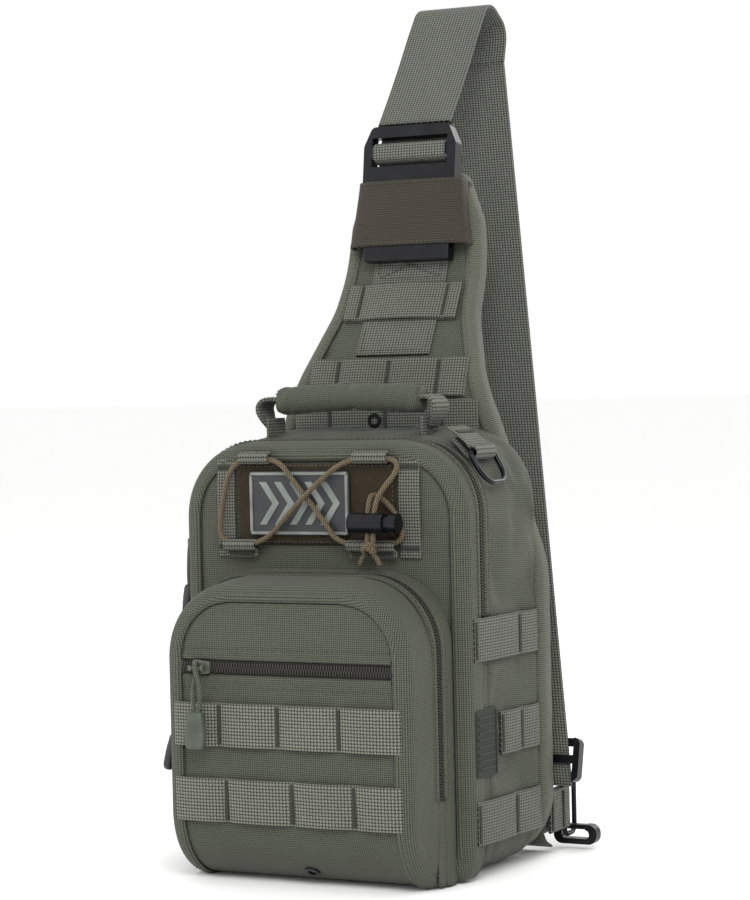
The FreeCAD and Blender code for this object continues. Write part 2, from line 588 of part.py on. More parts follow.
# ---------------------------------------------------------------- main compartment
def make_main():
    wall = body_core(0).cut(body_core(FABRIC_T)).common(slab(-FAR, FAR, -FAR, FAR, 0, FAR))
    half = ZIP_W / 2
    zip_gap = slab(-FAR, FAR, MAIN_ZIP_Y - half, MAIN_ZIP_Y + half, MAIN_ZIP_END_Z, FAR)
    front = slab(-FAR, FAR, -FAR, MAIN_ZIP_Y - half, FOLD_Z, FAR)
    behind = slab(-FAR, FAR, BACK_Y - BINDING_T, FAR, -FAR, FAR)
    rear = slab(-FAR, FAR, BACK_Y - BINDING_T - REAR_WALL_T, BACK_Y - BINDING_T, 0, FAR)
    nodes["main_gusset_rear"] = wall.cut(zip_gap).cut(front).cut(behind).fuse(body_core(0).common(rear))
    flap = slab(-FAR, FAR, -FAR, MAIN_ZIP_Y - half, FOLD_Z + GAP, FAR)
    nodes["main_gusset_front"] = wall.common(flap)
    face = outline(BODY_W_FRONT / 2, BODY_H_FRONT, BODY_R_BOTTOM, BODY_R_TOP, PANEL_Y)
    panel = Part.Face(face).extrude(V(0, FABRIC_T, 0))
    nodes["main_front_panel"] = panel.common(slab(-FAR, FAR, -FAR, FAR, -1, FOLD_Z))
    nodes["main_flap_panel"] = panel.common(slab(-FAR, FAR, -FAR, FAR, FOLD_Z + GAP, FAR))


# ---------------------------------------------------------------- front pocket
def make_pocket():
    outer = pocket_core(0).common(belly(POCKET_Y, 0.0))
    inside = belly(POCKET_Y + FABRIC_T, FABRIC_T)
    panel = outer.cut(inside)
    gusset = outer.common(inside).cut(pocket_core(FABRIC_T))
    half = ZIP_W / 2
    above = slab(-FAR, FAR, -FAR, FAR, POCKET_FOLD_Z + GAP, FAR)
    below = slab(-FAR, FAR, -FAR, FAR, -1, POCKET_FOLD_Z)
    slit = slab(SLIT_X0, SLIT_X1, -FAR, FAR, SLIT_Z - half, SLIT_Z + half)
    nodes["pocket_upper_panel"] = panel.common(above).cut(slit)
    drain = cylinder(DRAIN, DRAIN_AXIS * -1, 10, DRAIN_R)
    nodes["pocket_lower_panel"] = panel.common(below).cut(drain).cut(moved(drain, shift=DRAIN_AXIS * 5))
    zip_gap = slab(-FAR, FAR, POCKET_ZIP_Y - half, POCKET_ZIP_Y + half, POCKET_ZIP_END_Z, FAR)
    in_front = slab(-FAR, FAR, -FAR, POCKET_ZIP_Y - half, POCKET_FOLD_Z, FAR)
    nodes["pocket_gusset_rear"] = gusset.cut(zip_gap).cut(in_front)
    folding = slab(-FAR, FAR, -FAR, POCKET_ZIP_Y - half, POCKET_FOLD_Z + GAP, FAR)
    nodes["pocket_gusset_front"] = gusset.common(folding)
    inner = pocket_core(FABRIC_T + 1).common(belly(POCKET_Y + SLIT_BAG_DEPTH, 40.0))
    bag = inner.common(slab(-FAR, FAR, POCKET_Y + SLIT_BAG_DEPTH, POCKET_Y + SLIT_BAG_DEPTH + SLIT_BAG_T,
                            POCKET_FOLD_Z + 8, SLIT_Z + 12))
    nodes["slit_pocket_lining"] = bag


DRAIN_R = 2.5
DRAIN_RIM_R = 4.6
BELLY_ANGLE = math.radians(53.0)
DRAIN_AXIS = V(0, -math.cos(BELLY_ANGLE), -math.sin(BELLY_ANGLE))
DRAIN = V(6.0, POCKET_Y + POCKET_BELLY_R, POCKET_BELLY_R) + DRAIN_AXIS * POCKET_BELLY_R


def make_drain():
    ring = cylinder(DRAIN, DRAIN_AXIS, 1.2, DRAIN_RIM_R)
    nodes["drain_grommet"] = ring.cut(cylinder(DRAIN + DRAIN_AXIS * -3, DRAIN_AXIS, 9, DRAIN_R))


def make_front_webbing():
    y = POCKET_Y
    end = POCKET_W_FRONT / 2 - 1
    for name, z in (("front_webbing_upper", ROW_UPPER_Z), ("front_webbing_lower", ROW_LOWER_Z)):
        nodes[name] = slab(-end, end, y - WEB_T, y, z - WEB / 2, z + WEB / 2)


# ---------------------------------------------------------------- side webbing, label, D-ring
def side_row(z, front, proud):
    """Webbing on the side of the body, from its front end to the back panel."""
    skin = body_core(-proud).cut(body_core(0))
    return skin.common(slab(0, FAR, FRONT_Y + front, BACK_Y - BINDING_T, z - WEB / 2, z + WEB / 2))


def make_sides():
    right = [side_row(z, front, WEB_T) for z, front in SIDE_ROWS]
    rows = [s for r in right for s in r.Solids]
    nodes["side_webbing"] = Part.makeCompound(rows + [mirrored(s) for s in rows])
    label = body_core(-LABEL_T).cut(body_core(0))
    near, far, z0, z1 = LABEL
    nodes["side_label"] = label.common(slab(0, FAR, FRONT_Y + near, FRONT_Y + far, z0, z1))


D_BAR = V(BODY_W_BACK / 2 - 11.2, FRONT_Y + 33.0, TOP - 13.0)
D_END_ROOM = 1.5                # room beside the tab, on the ring's bar
D_LEAN = 30.0
D_TALL = 20.0


def make_d_ring():
    half = WEB / 2 + D_END_ROOM + RING_WIRE / 2
    bar = V(0, 0, 0)
    ring = closed_wire_ring([bar + V(0, -half, 0), bar + V(0, half, 0), bar + V(0, half, -D_TALL),
                             bar + V(0, -half, -D_TALL)], [3.0, 3.0, 11.0, 11.0], RING_WIRE)
    nodes["side_d_ring"] = moved(ring, -D_LEAN, V(0, 1, 0), V(0, 0, 0), D_BAR)
    inner = RING_WIRE / 2 + GAP
    tunnel = cylinder(D_BAR + V(0, -WEB / 2, 0), V(0, 1, 0), WEB, inner + WEB_T)
    strap = slab(-26.0, 0, -WEB / 2, WEB / 2, -inner - WEB_T, -inner)
    strap = moved(strap, 42.0, V(0, 1, 0), V(0, 0, 0), D_BAR)
    hole = cylinder(D_BAR + V(0, -FAR / 2, 0), V(0, 1, 0), FAR, inner)
    nodes["d_ring_tab"] = tunnel.fuse(strap).cut(hole).cut(body_core(-0.05))


# ---------------------------------------------------------------- loop panel, patch, cord and lock
TUNNEL_Y = PANEL_Y - LOOP_PANEL_T - CORD_D / 2 - GAP - WEB_T
LOOPS = ((-51.0, -31.0, 241.5, 1), (24.0, 46.0, 241.5, 1),      # ends, height, tab up or down
         (-62.0, -41.0, 191.0, -1), (19.0, 50.0, 191.0, -1))
LOCK_Y = TUNNEL_Y - LOCK_R - 2.6
STRAND_GAP = CORD_D + 0.6
STRANDS = (38.2 - STRAND_GAP / 2, 38.2 + STRAND_GAP / 2)    # X of the two cord ends inside the lock
KNOT = V(37.5, LOCK_Y, 191.5)
KNOT_R = 4.2
UNDER_Y = PANEL_Y - LOOP_PANEL_T - PATCH_T - CORD_D / 2 - 0.8   # where the cord crosses the patch
OVER_Y = UNDER_Y - CORD_D - 0.1                                 # and where it crosses itself
CORD_ROUTE = [V(STRANDS[1], LOCK_Y, 192.0), V(STRANDS[1], LOCK_Y, 214.0), V(46.5, LOCK_Y + 4, 226.0),
              V(52.5, TUNNEL_Y - 0.5, 234.0), V(51.0, TUNNEL_Y, 241.5), V(19.0, TUNNEL_Y, 241.5),
              V(-0.5, OVER_Y, 224.5), V(-14.5, OVER_Y, 211.5), V(-36.0, TUNNEL_Y - 0.9, 191.0),
              V(-66.5, TUNNEL_Y, 191.0), V(-63.5, TUNNEL_Y, 216.0), V(-56.0, TUNNEL_Y, 241.5),
              V(-26.0, TUNNEL_Y, 241.5), V(-16.0, UNDER_Y, 230.0), V(5.0, UNDER_Y, 205.5),
              V(14.0, TUNNEL_Y - 0.9, 191.0), V(55.5, TUNNEL_Y, 191.0), V(53.0, TUNNEL_Y, 207.0),
              V(40.0, TUNNEL_Y - 0.6, 221.0), V(STRANDS[0], LOCK_Y, 219.5), V(STRANDS[0], LOCK_Y, 192.0)]


def make_loop_panel():
    x0, x1, z0, z1 = LOOP_PANEL
    nodes["loop_panel"] = slab(x0, x1, PANEL_Y - LOOP_PANEL_T, PANEL_Y, z0, z1)
    x0, x1, z0, z1 = PATCH
    face = PANEL_Y - LOOP_PANEL_T
    nodes["patch"] = prism([V(x0, face, z0), V(x1, face, z0), V(x1, face, z1), V(x0, face, z1)],
                           [2.5] * 4, V(0, -PATCH_T, 0))
    straps = [slab(x0, x1, PANEL_Y - WEB_T, PANEL_Y, FOLD_Z + 2.5, LASH_TOP) for x0, x1 in LASH_STRAPS]
    nodes["lash_straps"] = Part.makeCompound(straps)


def make_cord_loops():
    inner = CORD_D / 2 + GAP
    back = PANEL_Y - LOOP_PANEL_T
    loops = []
    for x0, x1, z, side in LOOPS:
        start = V(x0, TUNNEL_Y, z)
        sleeve = cylinder(start, V(1, 0, 0), x1 - x0, inner + WEB_T)
        low, high = (z, z + 5.0) if side > 0 else (FOLD_Z + 2.5, z)
        tab = slab(x0, x1, back - WEB_T, back, low, high)
        hole = cylinder(start, V(1, 0, 0), x1 - x0, inner)
        loops += sleeve.fuse(tab).cut(hole).cut(slab(-FAR, FAR, back, FAR, 0, FAR)).Solids
    nodes["cord_loops"] = Part.makeCompound(loops)


def make_cord():
    radii = cord_radii(CORD_ROUTE)
    lacing = tube(CORD_ROUTE, radii, CORD_D)
    print("cord bend radii", [round(r, 1) for r in radii])
    knot = Part.makeSphere(KNOT_R, KNOT)
    tails = [tube([KNOT, KNOT + V(side * 4.5, 0, -4.0), KNOT + V(side * 6.5, 0.5, -7.5)], [0, 3, 0], CORD_D)
             for side in (-1, 1)]
    nodes["shock_cord"] = lacing.fuse([knot] + tails)


def make_cord_lock():
    x0, x1 = LOCK_X
    centre = V(x0, LOCK_Y, LOCK_Z)
    bore_r = LOCK_R - 1.3
    plunger_x0 = x0 + 2.2 + LOCK_TRAVEL + 1.2
    slot_y = CORD_D / 2 + 0.3
    slot = slab(STRANDS[0] - slot_y, STRANDS[1] + slot_y, LOCK_Y - slot_y, LOCK_Y + slot_y, 0, FAR)
    barrel = cylinder(centre, V(1, 0, 0), x1 - x0, LOCK_R)
    bore = cylinder(centre + V(2.0, 0, 0), V(1, 0, 0), x1, bore_r)
    nodes["cord_lock_barrel"] = barrel.cut(bore).cut(slot)
    shaft = cylinder(V(plunger_x0, LOCK_Y, LOCK_Z), V(1, 0, 0), x1 + LOCK_TRAVEL + 0.5 - plunger_x0, bore_r - GAP)
    head = cylinder(V(x1 + LOCK_TRAVEL + 0.4, LOCK_Y, LOCK_Z), V(1, 0, 0), 5.0, LOCK_R - 0.4)
    long_slot = slab(STRANDS[0] - slot_y - 0.1, STRANDS[1] + slot_y + LOCK_TRAVEL + 0.1,
                     LOCK_Y - slot_y - 0.1, LOCK_Y + slot_y + 0.1, 0, FAR)
    nodes["cord_lock_plunger"] = shaft.cut(long_slot).fuse(head)
    coil = cylinder(V(x0 + 2.1, LOCK_Y, LOCK_Z), V(1, 0, 0), 1.0, bore_r - 0.6)
    nodes["cord_lock_spring"] = coil.cut(cylinder(V(x0, LOCK_Y, LOCK_Z), V(1, 0, 0), 9, bore_r - 1.6))


# ---------------------------------------------------------------- carry handle
def make_handle():
    y0 = HANDLE_Y - WEB / 4
    bottom = HANDLE_PIVOT_Z - 2.5
    foot = HANDLE_ANCHOR_X + 3.4
    line = [(-foot, bottom), (-HANDLE_HALF, HANDLE_Z), (HANDLE_HALF, HANDLE_Z), (foot, bottom)]
    half = HANDLE_WEB_T / 2
    web = ribbon(line, [0, 6.0, 6.0, 0], -half, half, lambda a, b: V(a, y0, b), V(0, WEB / 2, 0))
    nodes["handle_webbing"] = web
    ends = HANDLE_HALF - 12.0
    grip = cylinder(V(-ends, HANDLE_Y, HANDLE_Z), V(1, 0, 0), 2 * ends, HANDLE_R)
    nodes["handle_grip"] = grip.cut(web)
    top = body_core(0)
    anchors = []
    for side in (-1, 1):
        x = side * HANDLE_ANCHOR_X
        tab = slab(x - 1.0, x + 1.0, y0, y0 + WEB / 2, BODY_H_FRONT - 6, HANDLE_PIVOT_Z + 2)
        anchors.append(tab.cut(top))
    nodes["handle_anchors"] = Part.makeCompound([s for a in anchors for s in a.Solids])


def main():
    make_back()
    make_pad_webbing()
    make_sleeve()
    make_buckle()
    make_strap()
    make_adjuster()
    make_corner()
    make_hook()
    make_main()
    make_pocket()
    make_drain()
    make_zips()
    make_front_webbing()
    make_sides()
    make_d_ring()
    make_loop_panel()
    make_cord_loops()
    make_cord()
    make_cord_lock()
    make_handle()
    os.makedirs("parts", exist_ok=True)
    for name, shape in nodes.items():
        shape = solid_of(shape)
        shape.exportStep("parts/" + name + ".step")
        box = shape.BoundBox
        line = "%-22s %d solid %8.0f mm3  z %.1f..%.1f"
        print(line % (name, len(shape.Solids), shape.Volume, box.ZMin, box.ZMax), "" if shape.isValid() else "INVALID")
    print(len(nodes), "nodes")


main()
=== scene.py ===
# %% [markdown]
# # A one-strap sling bag
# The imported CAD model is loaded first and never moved: it says where every piece is and how it moves.
# This lesson dresses it in fabric, webbing, zips and hardware. Lengths are written in millimetres, as
# a bag maker would, and one helper turns them into Blender's metres.

import math

import bmesh
import bpy
import numpy as np
from mathutils import Matrix, Vector


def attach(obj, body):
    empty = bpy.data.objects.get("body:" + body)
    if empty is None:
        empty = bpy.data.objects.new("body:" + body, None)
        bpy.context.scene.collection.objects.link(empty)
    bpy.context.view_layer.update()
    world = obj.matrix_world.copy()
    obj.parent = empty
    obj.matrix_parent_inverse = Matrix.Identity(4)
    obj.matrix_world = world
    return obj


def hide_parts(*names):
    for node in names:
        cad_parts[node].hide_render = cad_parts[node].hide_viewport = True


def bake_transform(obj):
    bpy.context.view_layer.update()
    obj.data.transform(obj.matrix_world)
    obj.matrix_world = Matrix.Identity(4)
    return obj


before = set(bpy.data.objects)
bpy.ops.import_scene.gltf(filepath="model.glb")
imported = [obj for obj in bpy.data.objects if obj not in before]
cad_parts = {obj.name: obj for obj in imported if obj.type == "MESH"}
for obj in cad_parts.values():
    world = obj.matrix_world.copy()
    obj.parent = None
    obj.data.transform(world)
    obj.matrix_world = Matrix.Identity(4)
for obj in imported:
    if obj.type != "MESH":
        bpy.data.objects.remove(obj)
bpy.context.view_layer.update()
MM = 0.001

# %% [markdown]
# ## Sizes
# These are the maker's sizes, the same as in the CAD source. -Y is the pocket side, +Y the wearer's
# side, and Z is up from the floor.

# %% Sizes of the bag, in millimetres
WEB = 25.0
WEB_T = 1.6
STRAP_W = 50.0
STRAP_T = 2.2
CLOTH_T = 1.4      # the walls that are blown out or hang as one cloth
BODY = dict(y0=-40.0, y1=40.0, half0=91.0, half1=96.0, high0=249.0, high1=256.0, low_r=30.0, top_r=42.0)
POCKET = dict(y0=-91.0, y1=-43.0, half0=77.0, half1=81.5, high0=171.0, high1=177.0, low_r=25.0, top_r=42.0)
PANEL_Y = -43.0
POCKET_Y = -91.0
BELLY_R = 40.0
EDGE_R = 5.0
MAIN_ZIP = (-29.0, -21.0)
MAIN_ZIP_END = 150.0
POCKET_ZIP = (-63.0, -55.0)
POCKET_ZIP_END = 50.0
SLIT_Z = 124.0
SLIT_X = (-70.0, 73.0)
POCKET_FOLD_Z = 64.0
ROWS = {"upper": (91.5, (-43.0, -5.0, 34.0)), "lower": (48.5, (-39.0, 3.6, 43.0))}
BACK_T = 12.0
PAD_TOP = 412.0
BACK_LINE = [(40.0, 0.0), (40.0, 281.0), (80.0, 353.0), (88.0, PAD_TOP)]
BACK_BENDS = [0.0, 60.0, 70.0, 0.0]
PAD_LEAN = math.radians(7.72)
PAD_ORIGIN = (0.0, 80.0, 353.0)
LOOP_FIELD = (-56.0, 49.0, 191.0, 238.5)
LOOP_T = 2.6
LOOP_FACE = PANEL_Y - LOOP_T
CORD_R = 1.5
CORD_ROOM = 0.3
HANDLE_Y = -5.0
D_RING_Y = -7.0
CORNER_TAB_Z = 26.0


def outline(half, high, low_r, top_r, inset=0.0, counts=(10, 8, 30, 14, 16)):
    """Points and outward normals (x, z, nx, nz) round a rounded front, from the bottom middle."""
    w, h, low, top = half - inset, high - inset, low_r - inset, top_r - inset
    rows = [(x, inset, 0.0, -1.0) for x in np.linspace(0, w - low, counts[0], endpoint=False)]
    for a in np.linspace(-90, 0, counts[1], endpoint=False):
        c, s = math.cos(math.radians(a)), math.sin(math.radians(a))
        rows.append((w - low + low * c, inset + low + low * s, c, s))
    rows += [(w, z, 1.0, 0.0) for z in np.linspace(inset + low, h - top, counts[2], endpoint=False)]
    for a in np.linspace(0, 90, counts[3], endpoint=False):
        c, s = math.cos(math.radians(a)), math.sin(math.radians(a))
        rows.append((w - top + top * c, h - top + top * s, c, s))
    rows += [(x, h, 0.0, 1.0) for x in np.linspace(w - top, 0, counts[4])]
    right = np.array(rows)
    left = right[-2:0:-1] * (-1, 1, -1, 1)
    return np.vstack([right, left])


def front_size(form):
    """Half width, height and the two corner radii of a form's front."""
    return form["half0"], form["high0"], form["low_r"], form["top_r"]


def form_at(form, y, inset=0.0):
    """The outline of a tapered form at depth y."""
    t = (y - form["y0"]) / (form["y1"] - form["y0"])
    half = form["half0"] + t * (form["half1"] - form["half0"])
    high = form["high0"] + t * (form["high1"] - form["high0"])
    return outline(half, high, form["low_r"], form["top_r"], inset)


def flare(form):
    """How much a form widens to each side, and rises, for each millimetre back."""
    deep = form["y1"] - form["y0"]
    return (form["half1"] - form["half0"]) / deep, (form["high1"] - form["high0"]) / deep


print("points round the outline", len(form_at(BODY, 0.0)))

# %% [markdown]
# ## Making meshes
# Nearly every piece is a grid of points: a sheet of fabric, or a profile swept along a line. The grid
# also gives the UVs in real lengths, so a weave has the same thread size on every piece.

# %% Mesh helpers
def mesh_piece(name, points, faces, uvs, material, smooth=True):
    mesh = bpy.data.meshes.new(name)
    mesh.from_pydata((np.asarray(points, float) * MM).tolist(), [], faces)
    layer = mesh.uv_layers.new(name="threads")
    uvs = np.asarray(uvs, float) * MM
    corners = np.zeros(len(mesh.loops), dtype=np.int32)
    mesh.loops.foreach_get("vertex_index", corners)
    layer.data.foreach_set("uv", uvs[corners].ravel())
    mesh.polygons.foreach_set("use_smooth", [smooth] * len(mesh.polygons))
    piece = bpy.data.objects.new(name, mesh)
    bpy.context.scene.collection.objects.link(piece)
    piece.data.materials.append(material)
    return piece


def closed_form(piece, caps=0):
    """Turn a closed mesh's faces outward, and leave its last few faces, the end caps, flat."""
    form = bmesh.new()
    form.from_mesh(piece.data)
    bmesh.ops.recalc_face_normals(form, faces=form.faces)
    form.to_mesh(piece.data)
    form.free()
    for face in list(piece.data.polygons)[len(piece.data.polygons) - caps:]:
        face.use_smooth = False
    return piece


def grid_faces(rows, cols, wrap=False, flip=False):
    last = cols if wrap else cols - 1
    faces = [(r * cols + c, r * cols + (c + 1) % cols, (r + 1) * cols + (c + 1) % cols, (r + 1) * cols + c)
             for r in range(rows - 1) for c in range(last)]
    return [f[::-1] for f in faces] if flip else faces


def capped_faces(rings, count, first=0):
    """Faces of a closed form made of rings of points, with a cap at each end."""
    last = first + (rings - 1) * count
    faces = [tuple(first + k for k in f) for f in grid_faces(rings, count, wrap=True)]
    return faces + [tuple(range(first, first + count))[::-1], tuple(range(last, last + count))]


def unit(rows):
    return rows / np.linalg.norm(rows, axis=1)[:, None]


def run_length(points):
    steps = np.linalg.norm(np.diff(points, axis=0), axis=1)
    return np.concatenate([[0.0], np.cumsum(steps)])


def resample(points, step):
    """Evenly spaced points along a line."""
    points = np.asarray(points, float)
    at = run_length(points)
    count = max(2, int(round(at[-1] / step)) + 1)
    even = np.linspace(0, at[-1], count)
    return np.stack([np.interp(even, at, points[:, k]) for k in range(points.shape[1])], axis=1)


def thickened(piece, thick):
    """Give a sheet its thickness, behind the face that shows."""
    backing = piece.modifiers.new("thickness", "SOLIDIFY")
    backing.thickness = thick * MM
    backing.offset = -1.0
    return piece


def cloth_sheet(name, grid, material, thick=1.0, uv=None, flip=False):
    """A sheet from a grid of points (rows, columns, 3), with a thickness behind it."""
    grid = np.asarray(grid, float)
    rows, cols = grid.shape[:2]
    if uv is None:
        u = np.array([run_length(row) for row in grid])
        v = np.array([run_length(grid[:, c]) for c in range(cols)]).T
        uv = np.stack([u - u.mean(), v], axis=2)
    piece = mesh_piece(name, grid.reshape(-1, 3), grid_faces(rows, cols, flip=flip), uv.reshape(-1, 2),
                       material)
    return thickened(piece, thick) if thick else piece


def sweep(name, path, sides, normals, profile, material, closed=False, starts_at=0.0):
    """A closed profile (a along sides, b along normals) carried along a path, with ends capped."""
    path, sides, normals, profile = (np.asarray(x, float) for x in (path, sides, normals, profile))
    n, m = len(path), len(profile)
    points = (path[:, None] + profile[None, :, :1] * sides[:, None] + profile[None, :, 1:] * normals[:, None])
    round_it = run_length(np.vstack([profile, profile[:1]]))[:m]
    along = run_length(path) + starts_at
    uv = np.stack(np.broadcast_arrays(round_it[None, :], along[:, None]), axis=2)
    if closed:
        faces = grid_faces(n, m, wrap=True)
        faces += [((n - 1) * m + c, (n - 1) * m + (c + 1) % m, (c + 1) % m, c) for c in range(m)]
    else:
        faces = capped_faces(n, m)
    piece = mesh_piece(name, points.reshape(-1, 3), faces, uv.reshape(-1, 2), material)
    return closed_form(piece, 0 if closed else 2)


def directions(path):
    path = np.asarray(path, float)
    return unit(np.gradient(path, axis=0))


def web_profile(width, thick):
    """Section of a woven strap: flat with soft round edges, standing on its back face."""
    w, r = width / 2, thick / 2
    across = np.linspace(-w + r, w - r, 9)
    edge = [(w - r + r * math.cos(a), r + r * math.sin(a)) for a in np.linspace(-1.2, 1.2, 5)]
    front = [(x, thick) for x in across[::-1]]
    back = [(-x, y) for x, y in edge[::-1]]
    return [(x, 0.0) for x in across] + edge + front + back


def ring_profile(radius, count=10):
    return [(radius * math.cos(a), radius * math.sin(a))
            for a in np.linspace(0, 2 * math.pi, count, endpoint=False)]


def tube(name, path, radius, material, count=10):
    """A round cord along a line, with a frame that doesn't twist."""
    path = np.asarray(path, float)
    along = directions(path)
    side = np.cross(along[0], (0.31, 0.53, 0.79))
    sides = []
    for t in along:
        side = side - t * (side @ t)
        side = side / np.linalg.norm(side)
        sides.append(side)
    sides = np.array(sides)
    return sweep(name, path, sides, np.cross(along, sides), ring_profile(radius, count), material)


def smooth_line(points, per_run=10):
    """A smooth line through given points."""
    p = np.asarray(points, float)
    p = np.vstack([2 * p[0] - p[1], p, 2 * p[-1] - p[-2]])
    out = []
    for a, b, c, d in zip(p, p[1:], p[2:], p[3:]):
        for t in np.linspace(0, 1, per_run, endpoint=False):
            out.append(0.5 * (2 * b + (c - a) * t + (2 * a - 5 * b + 4 * c - d) * t * t
                              + (3 * b - a - 3 * c + d) * t ** 3))
    return np.array(out + [p[-2]])


def join(name, pieces):
    """Several meshes made into one piece."""
    bpy.ops.object.select_all(action="DESELECT")
    for p in pieces:
        p.select_set(True)
    bpy.context.view_layer.objects.active = pieces[0]
    if len(pieces) > 1:
        bpy.ops.object.join()
    pieces[0].name = name
    pieces[0].data.name = name
    return pieces[0]


def wrinkle(points, size, height, seed=0.0):
    """A slow, repeatable unevenness for cloth: a few crossed waves, in millimetres."""
    p = np.asarray(points, float) / size
    x, y, z = p[..., 0], p[..., 1], p[..., 2]
    waves = (np.sin(1.7 * x + 2.3 * z + seed) + np.sin(2.9 * z - 1.3 * x + 0.8 * y + 2 * seed)
             + np.sin(3.7 * x + 1.1 * y - 2.1 * z + 3 * seed) + 0.6 * np.sin(5.3 * z + 4.1 * y + seed))
    return height * waves / 3.0


def placed(piece, body, material_slot, *nodes):
    """Say which body a piece moves with, and which CAD nodes it stands for. material_slot is not used."""
    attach(piece, body)
    if nodes:
        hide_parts(*nodes)
    return piece

# %% [markdown]
# ## Finishes
# Colours are written as sRGB hex, as on a swatch card, and turned to linear light by one function.
# A finish is a small tree of nodes. One helper adds a node with its settings and links.

# %% Colour and node helpers
def swatch(code):
    channels = [int(code[i:i + 2], 16) / 255 for i in (1, 3, 5)]
    return tuple(c / 12.92 if c <= 0.04045 else ((c + 0.055) / 1.055) ** 2.4 for c in channels) + (1.0,)


def node(tree, kind, links=None, **settings):
    """Add a node, set its properties, then fill its inputs with values or other nodes' outputs."""
    new = tree.nodes.new(kind)
    for key, value in settings.items():
        setattr(new, key, value)
    for key, value in (links or {}).items():
        if isinstance(value, bpy.types.NodeSocket):
            tree.links.new(value, new.inputs[key])
        else:
            new.inputs[key].default_value = value
    return new


def start_finish(name, roughness, metallic=0.0, **uniform):
    material = bpy.data.materials.new(name)
    material.use_nodes = True
    shader = material.node_tree.nodes["Principled BSDF"]
    shader.inputs["Roughness"].default_value = roughness
    shader.inputs["Metallic"].default_value = metallic
    for key, value in uniform.items():
        shader.inputs[key.replace("_", " ")].default_value = value
    return material, material.node_tree, shader


def maths(tree, operation, *values):
    return node(tree, "ShaderNodeMath", dict(enumerate(values)), operation=operation).outputs[0]


def humps(tree, value):
    """One rounded hump for every whole step of the value."""
    return maths(tree, "ABSOLUTE", maths(tree, "SINE", maths(tree, "MULTIPLY", value, math.pi)))


def two_tone(tree, value, dark, light, low=0.0, high=1.0):
    """A ramp from the dark swatch at low to the light one at high."""
    ramp = node(tree, "ShaderNodeValToRGB", {0: value})
    for element, position, code in zip(ramp.color_ramp.elements, (low, high), (dark, light)):
        element.position = position
        element.color = swatch(code)
    return ramp.outputs[0]


def threads(tree, across_mm, along_mm):
    """The fabric's own lengths, counted in threads: (across, along)."""
    uv = node(tree, "ShaderNodeUVMap", uv_map="threads")
    apart = node(tree, "ShaderNodeSeparateXYZ", {0: uv.outputs[0]})
    return (maths(tree, "DIVIDE", apart.outputs[0], across_mm * MM),
            maths(tree, "DIVIDE", apart.outputs[1], along_mm * MM))


def plain_weave(tree, across_mm, along_mm, over=1.0):
    """Height of a plain weave: a thread rises where it goes over its neighbour."""
    u, v = threads(tree, across_mm, along_mm)
    cell = maths(tree, "ADD", maths(tree, "FLOOR", u), maths(tree, "FLOOR", maths(tree, "MULTIPLY", v, over)))
    which = maths(tree, "PINGPONG", cell, 1.0)
    warp = humps(tree, u)
    weft = humps(tree, v)
    both = maths(tree, "MULTIPLY", warp, weft)
    mixed = node(tree, "ShaderNodeMix", {0: which, 2: warp, 3: weft}, data_type="FLOAT")
    return maths(tree, "MULTIPLY_ADD", mixed.outputs[0], 0.55, maths(tree, "MULTIPLY", both, 0.45))


def ribs(tree, across_mm, along_mm):
    """Height of a grosgrain: strong ribs one way, fine threads the other."""
    u, v = threads(tree, across_mm, along_mm)
    rib = humps(tree, v)
    fine = humps(tree, u)
    return maths(tree, "MULTIPLY_ADD", fine, 0.3, maths(tree, "MULTIPLY", rib, 0.7))


def braid(tree, across_mm, along_mm):
    """Height of a braided cover: two sets of strands that cross on the slant."""
    u, v = threads(tree, across_mm, along_mm)
    one = humps(tree, maths(tree, "ADD", u, v))
    two = humps(tree, maths(tree, "SUBTRACT", u, v))
    return maths(tree, "MULTIPLY", one, two)


def textile(name, light, dark, pattern, across_mm, along_mm, relief_mm, roughness, sheen=0.08, patchy=0.10):
    """A woven, ribbed or braided textile: thread tops light and the gaps between them darkened with painted
    shade, uneven over its area.
    """
    material, tree, shader = start_finish(name, roughness, Sheen_Weight=sheen, Sheen_Roughness=0.5,
                                          Specular_IOR_Level=0.2)
    height = pattern(tree, across_mm, along_mm)
    place = node(tree, "ShaderNodeTexCoord").outputs["Object"]
    slow = node(tree, "ShaderNodeTexNoise", {"Vector": place, "Scale": 1 / (28 * MM), "Detail": 3.0})
    fuzz = node(tree, "ShaderNodeTexNoise", {"Vector": place, "Scale": 1 / (0.9 * MM), "Detail": 2.0})
    # The colour follows the weave's height, mixed with random fuzz: the low gaps between threads get the dark
    # swatch as painted shade.
    mixed = maths(tree, "MULTIPLY_ADD", fuzz.outputs[0], 0.35, maths(tree, "MULTIPLY", height, 0.85))
    cloth = two_tone(tree, mixed, dark, light, 0.3, 0.8)
    value = maths(tree, "MULTIPLY_ADD", slow.outputs[0], 2 * patchy, 1 - patchy)
    tone = node(tree, "ShaderNodeHueSaturation", {"Value": value, "Color": cloth})
    tree.links.new(tone.outputs[0], shader.inputs["Base Color"])
    bump = node(tree, "ShaderNodeBump", {"Strength": 0.9, "Distance": relief_mm * MM, "Height": mixed})
    tree.links.new(bump.outputs[0], shader.inputs["Normal"])
    return material
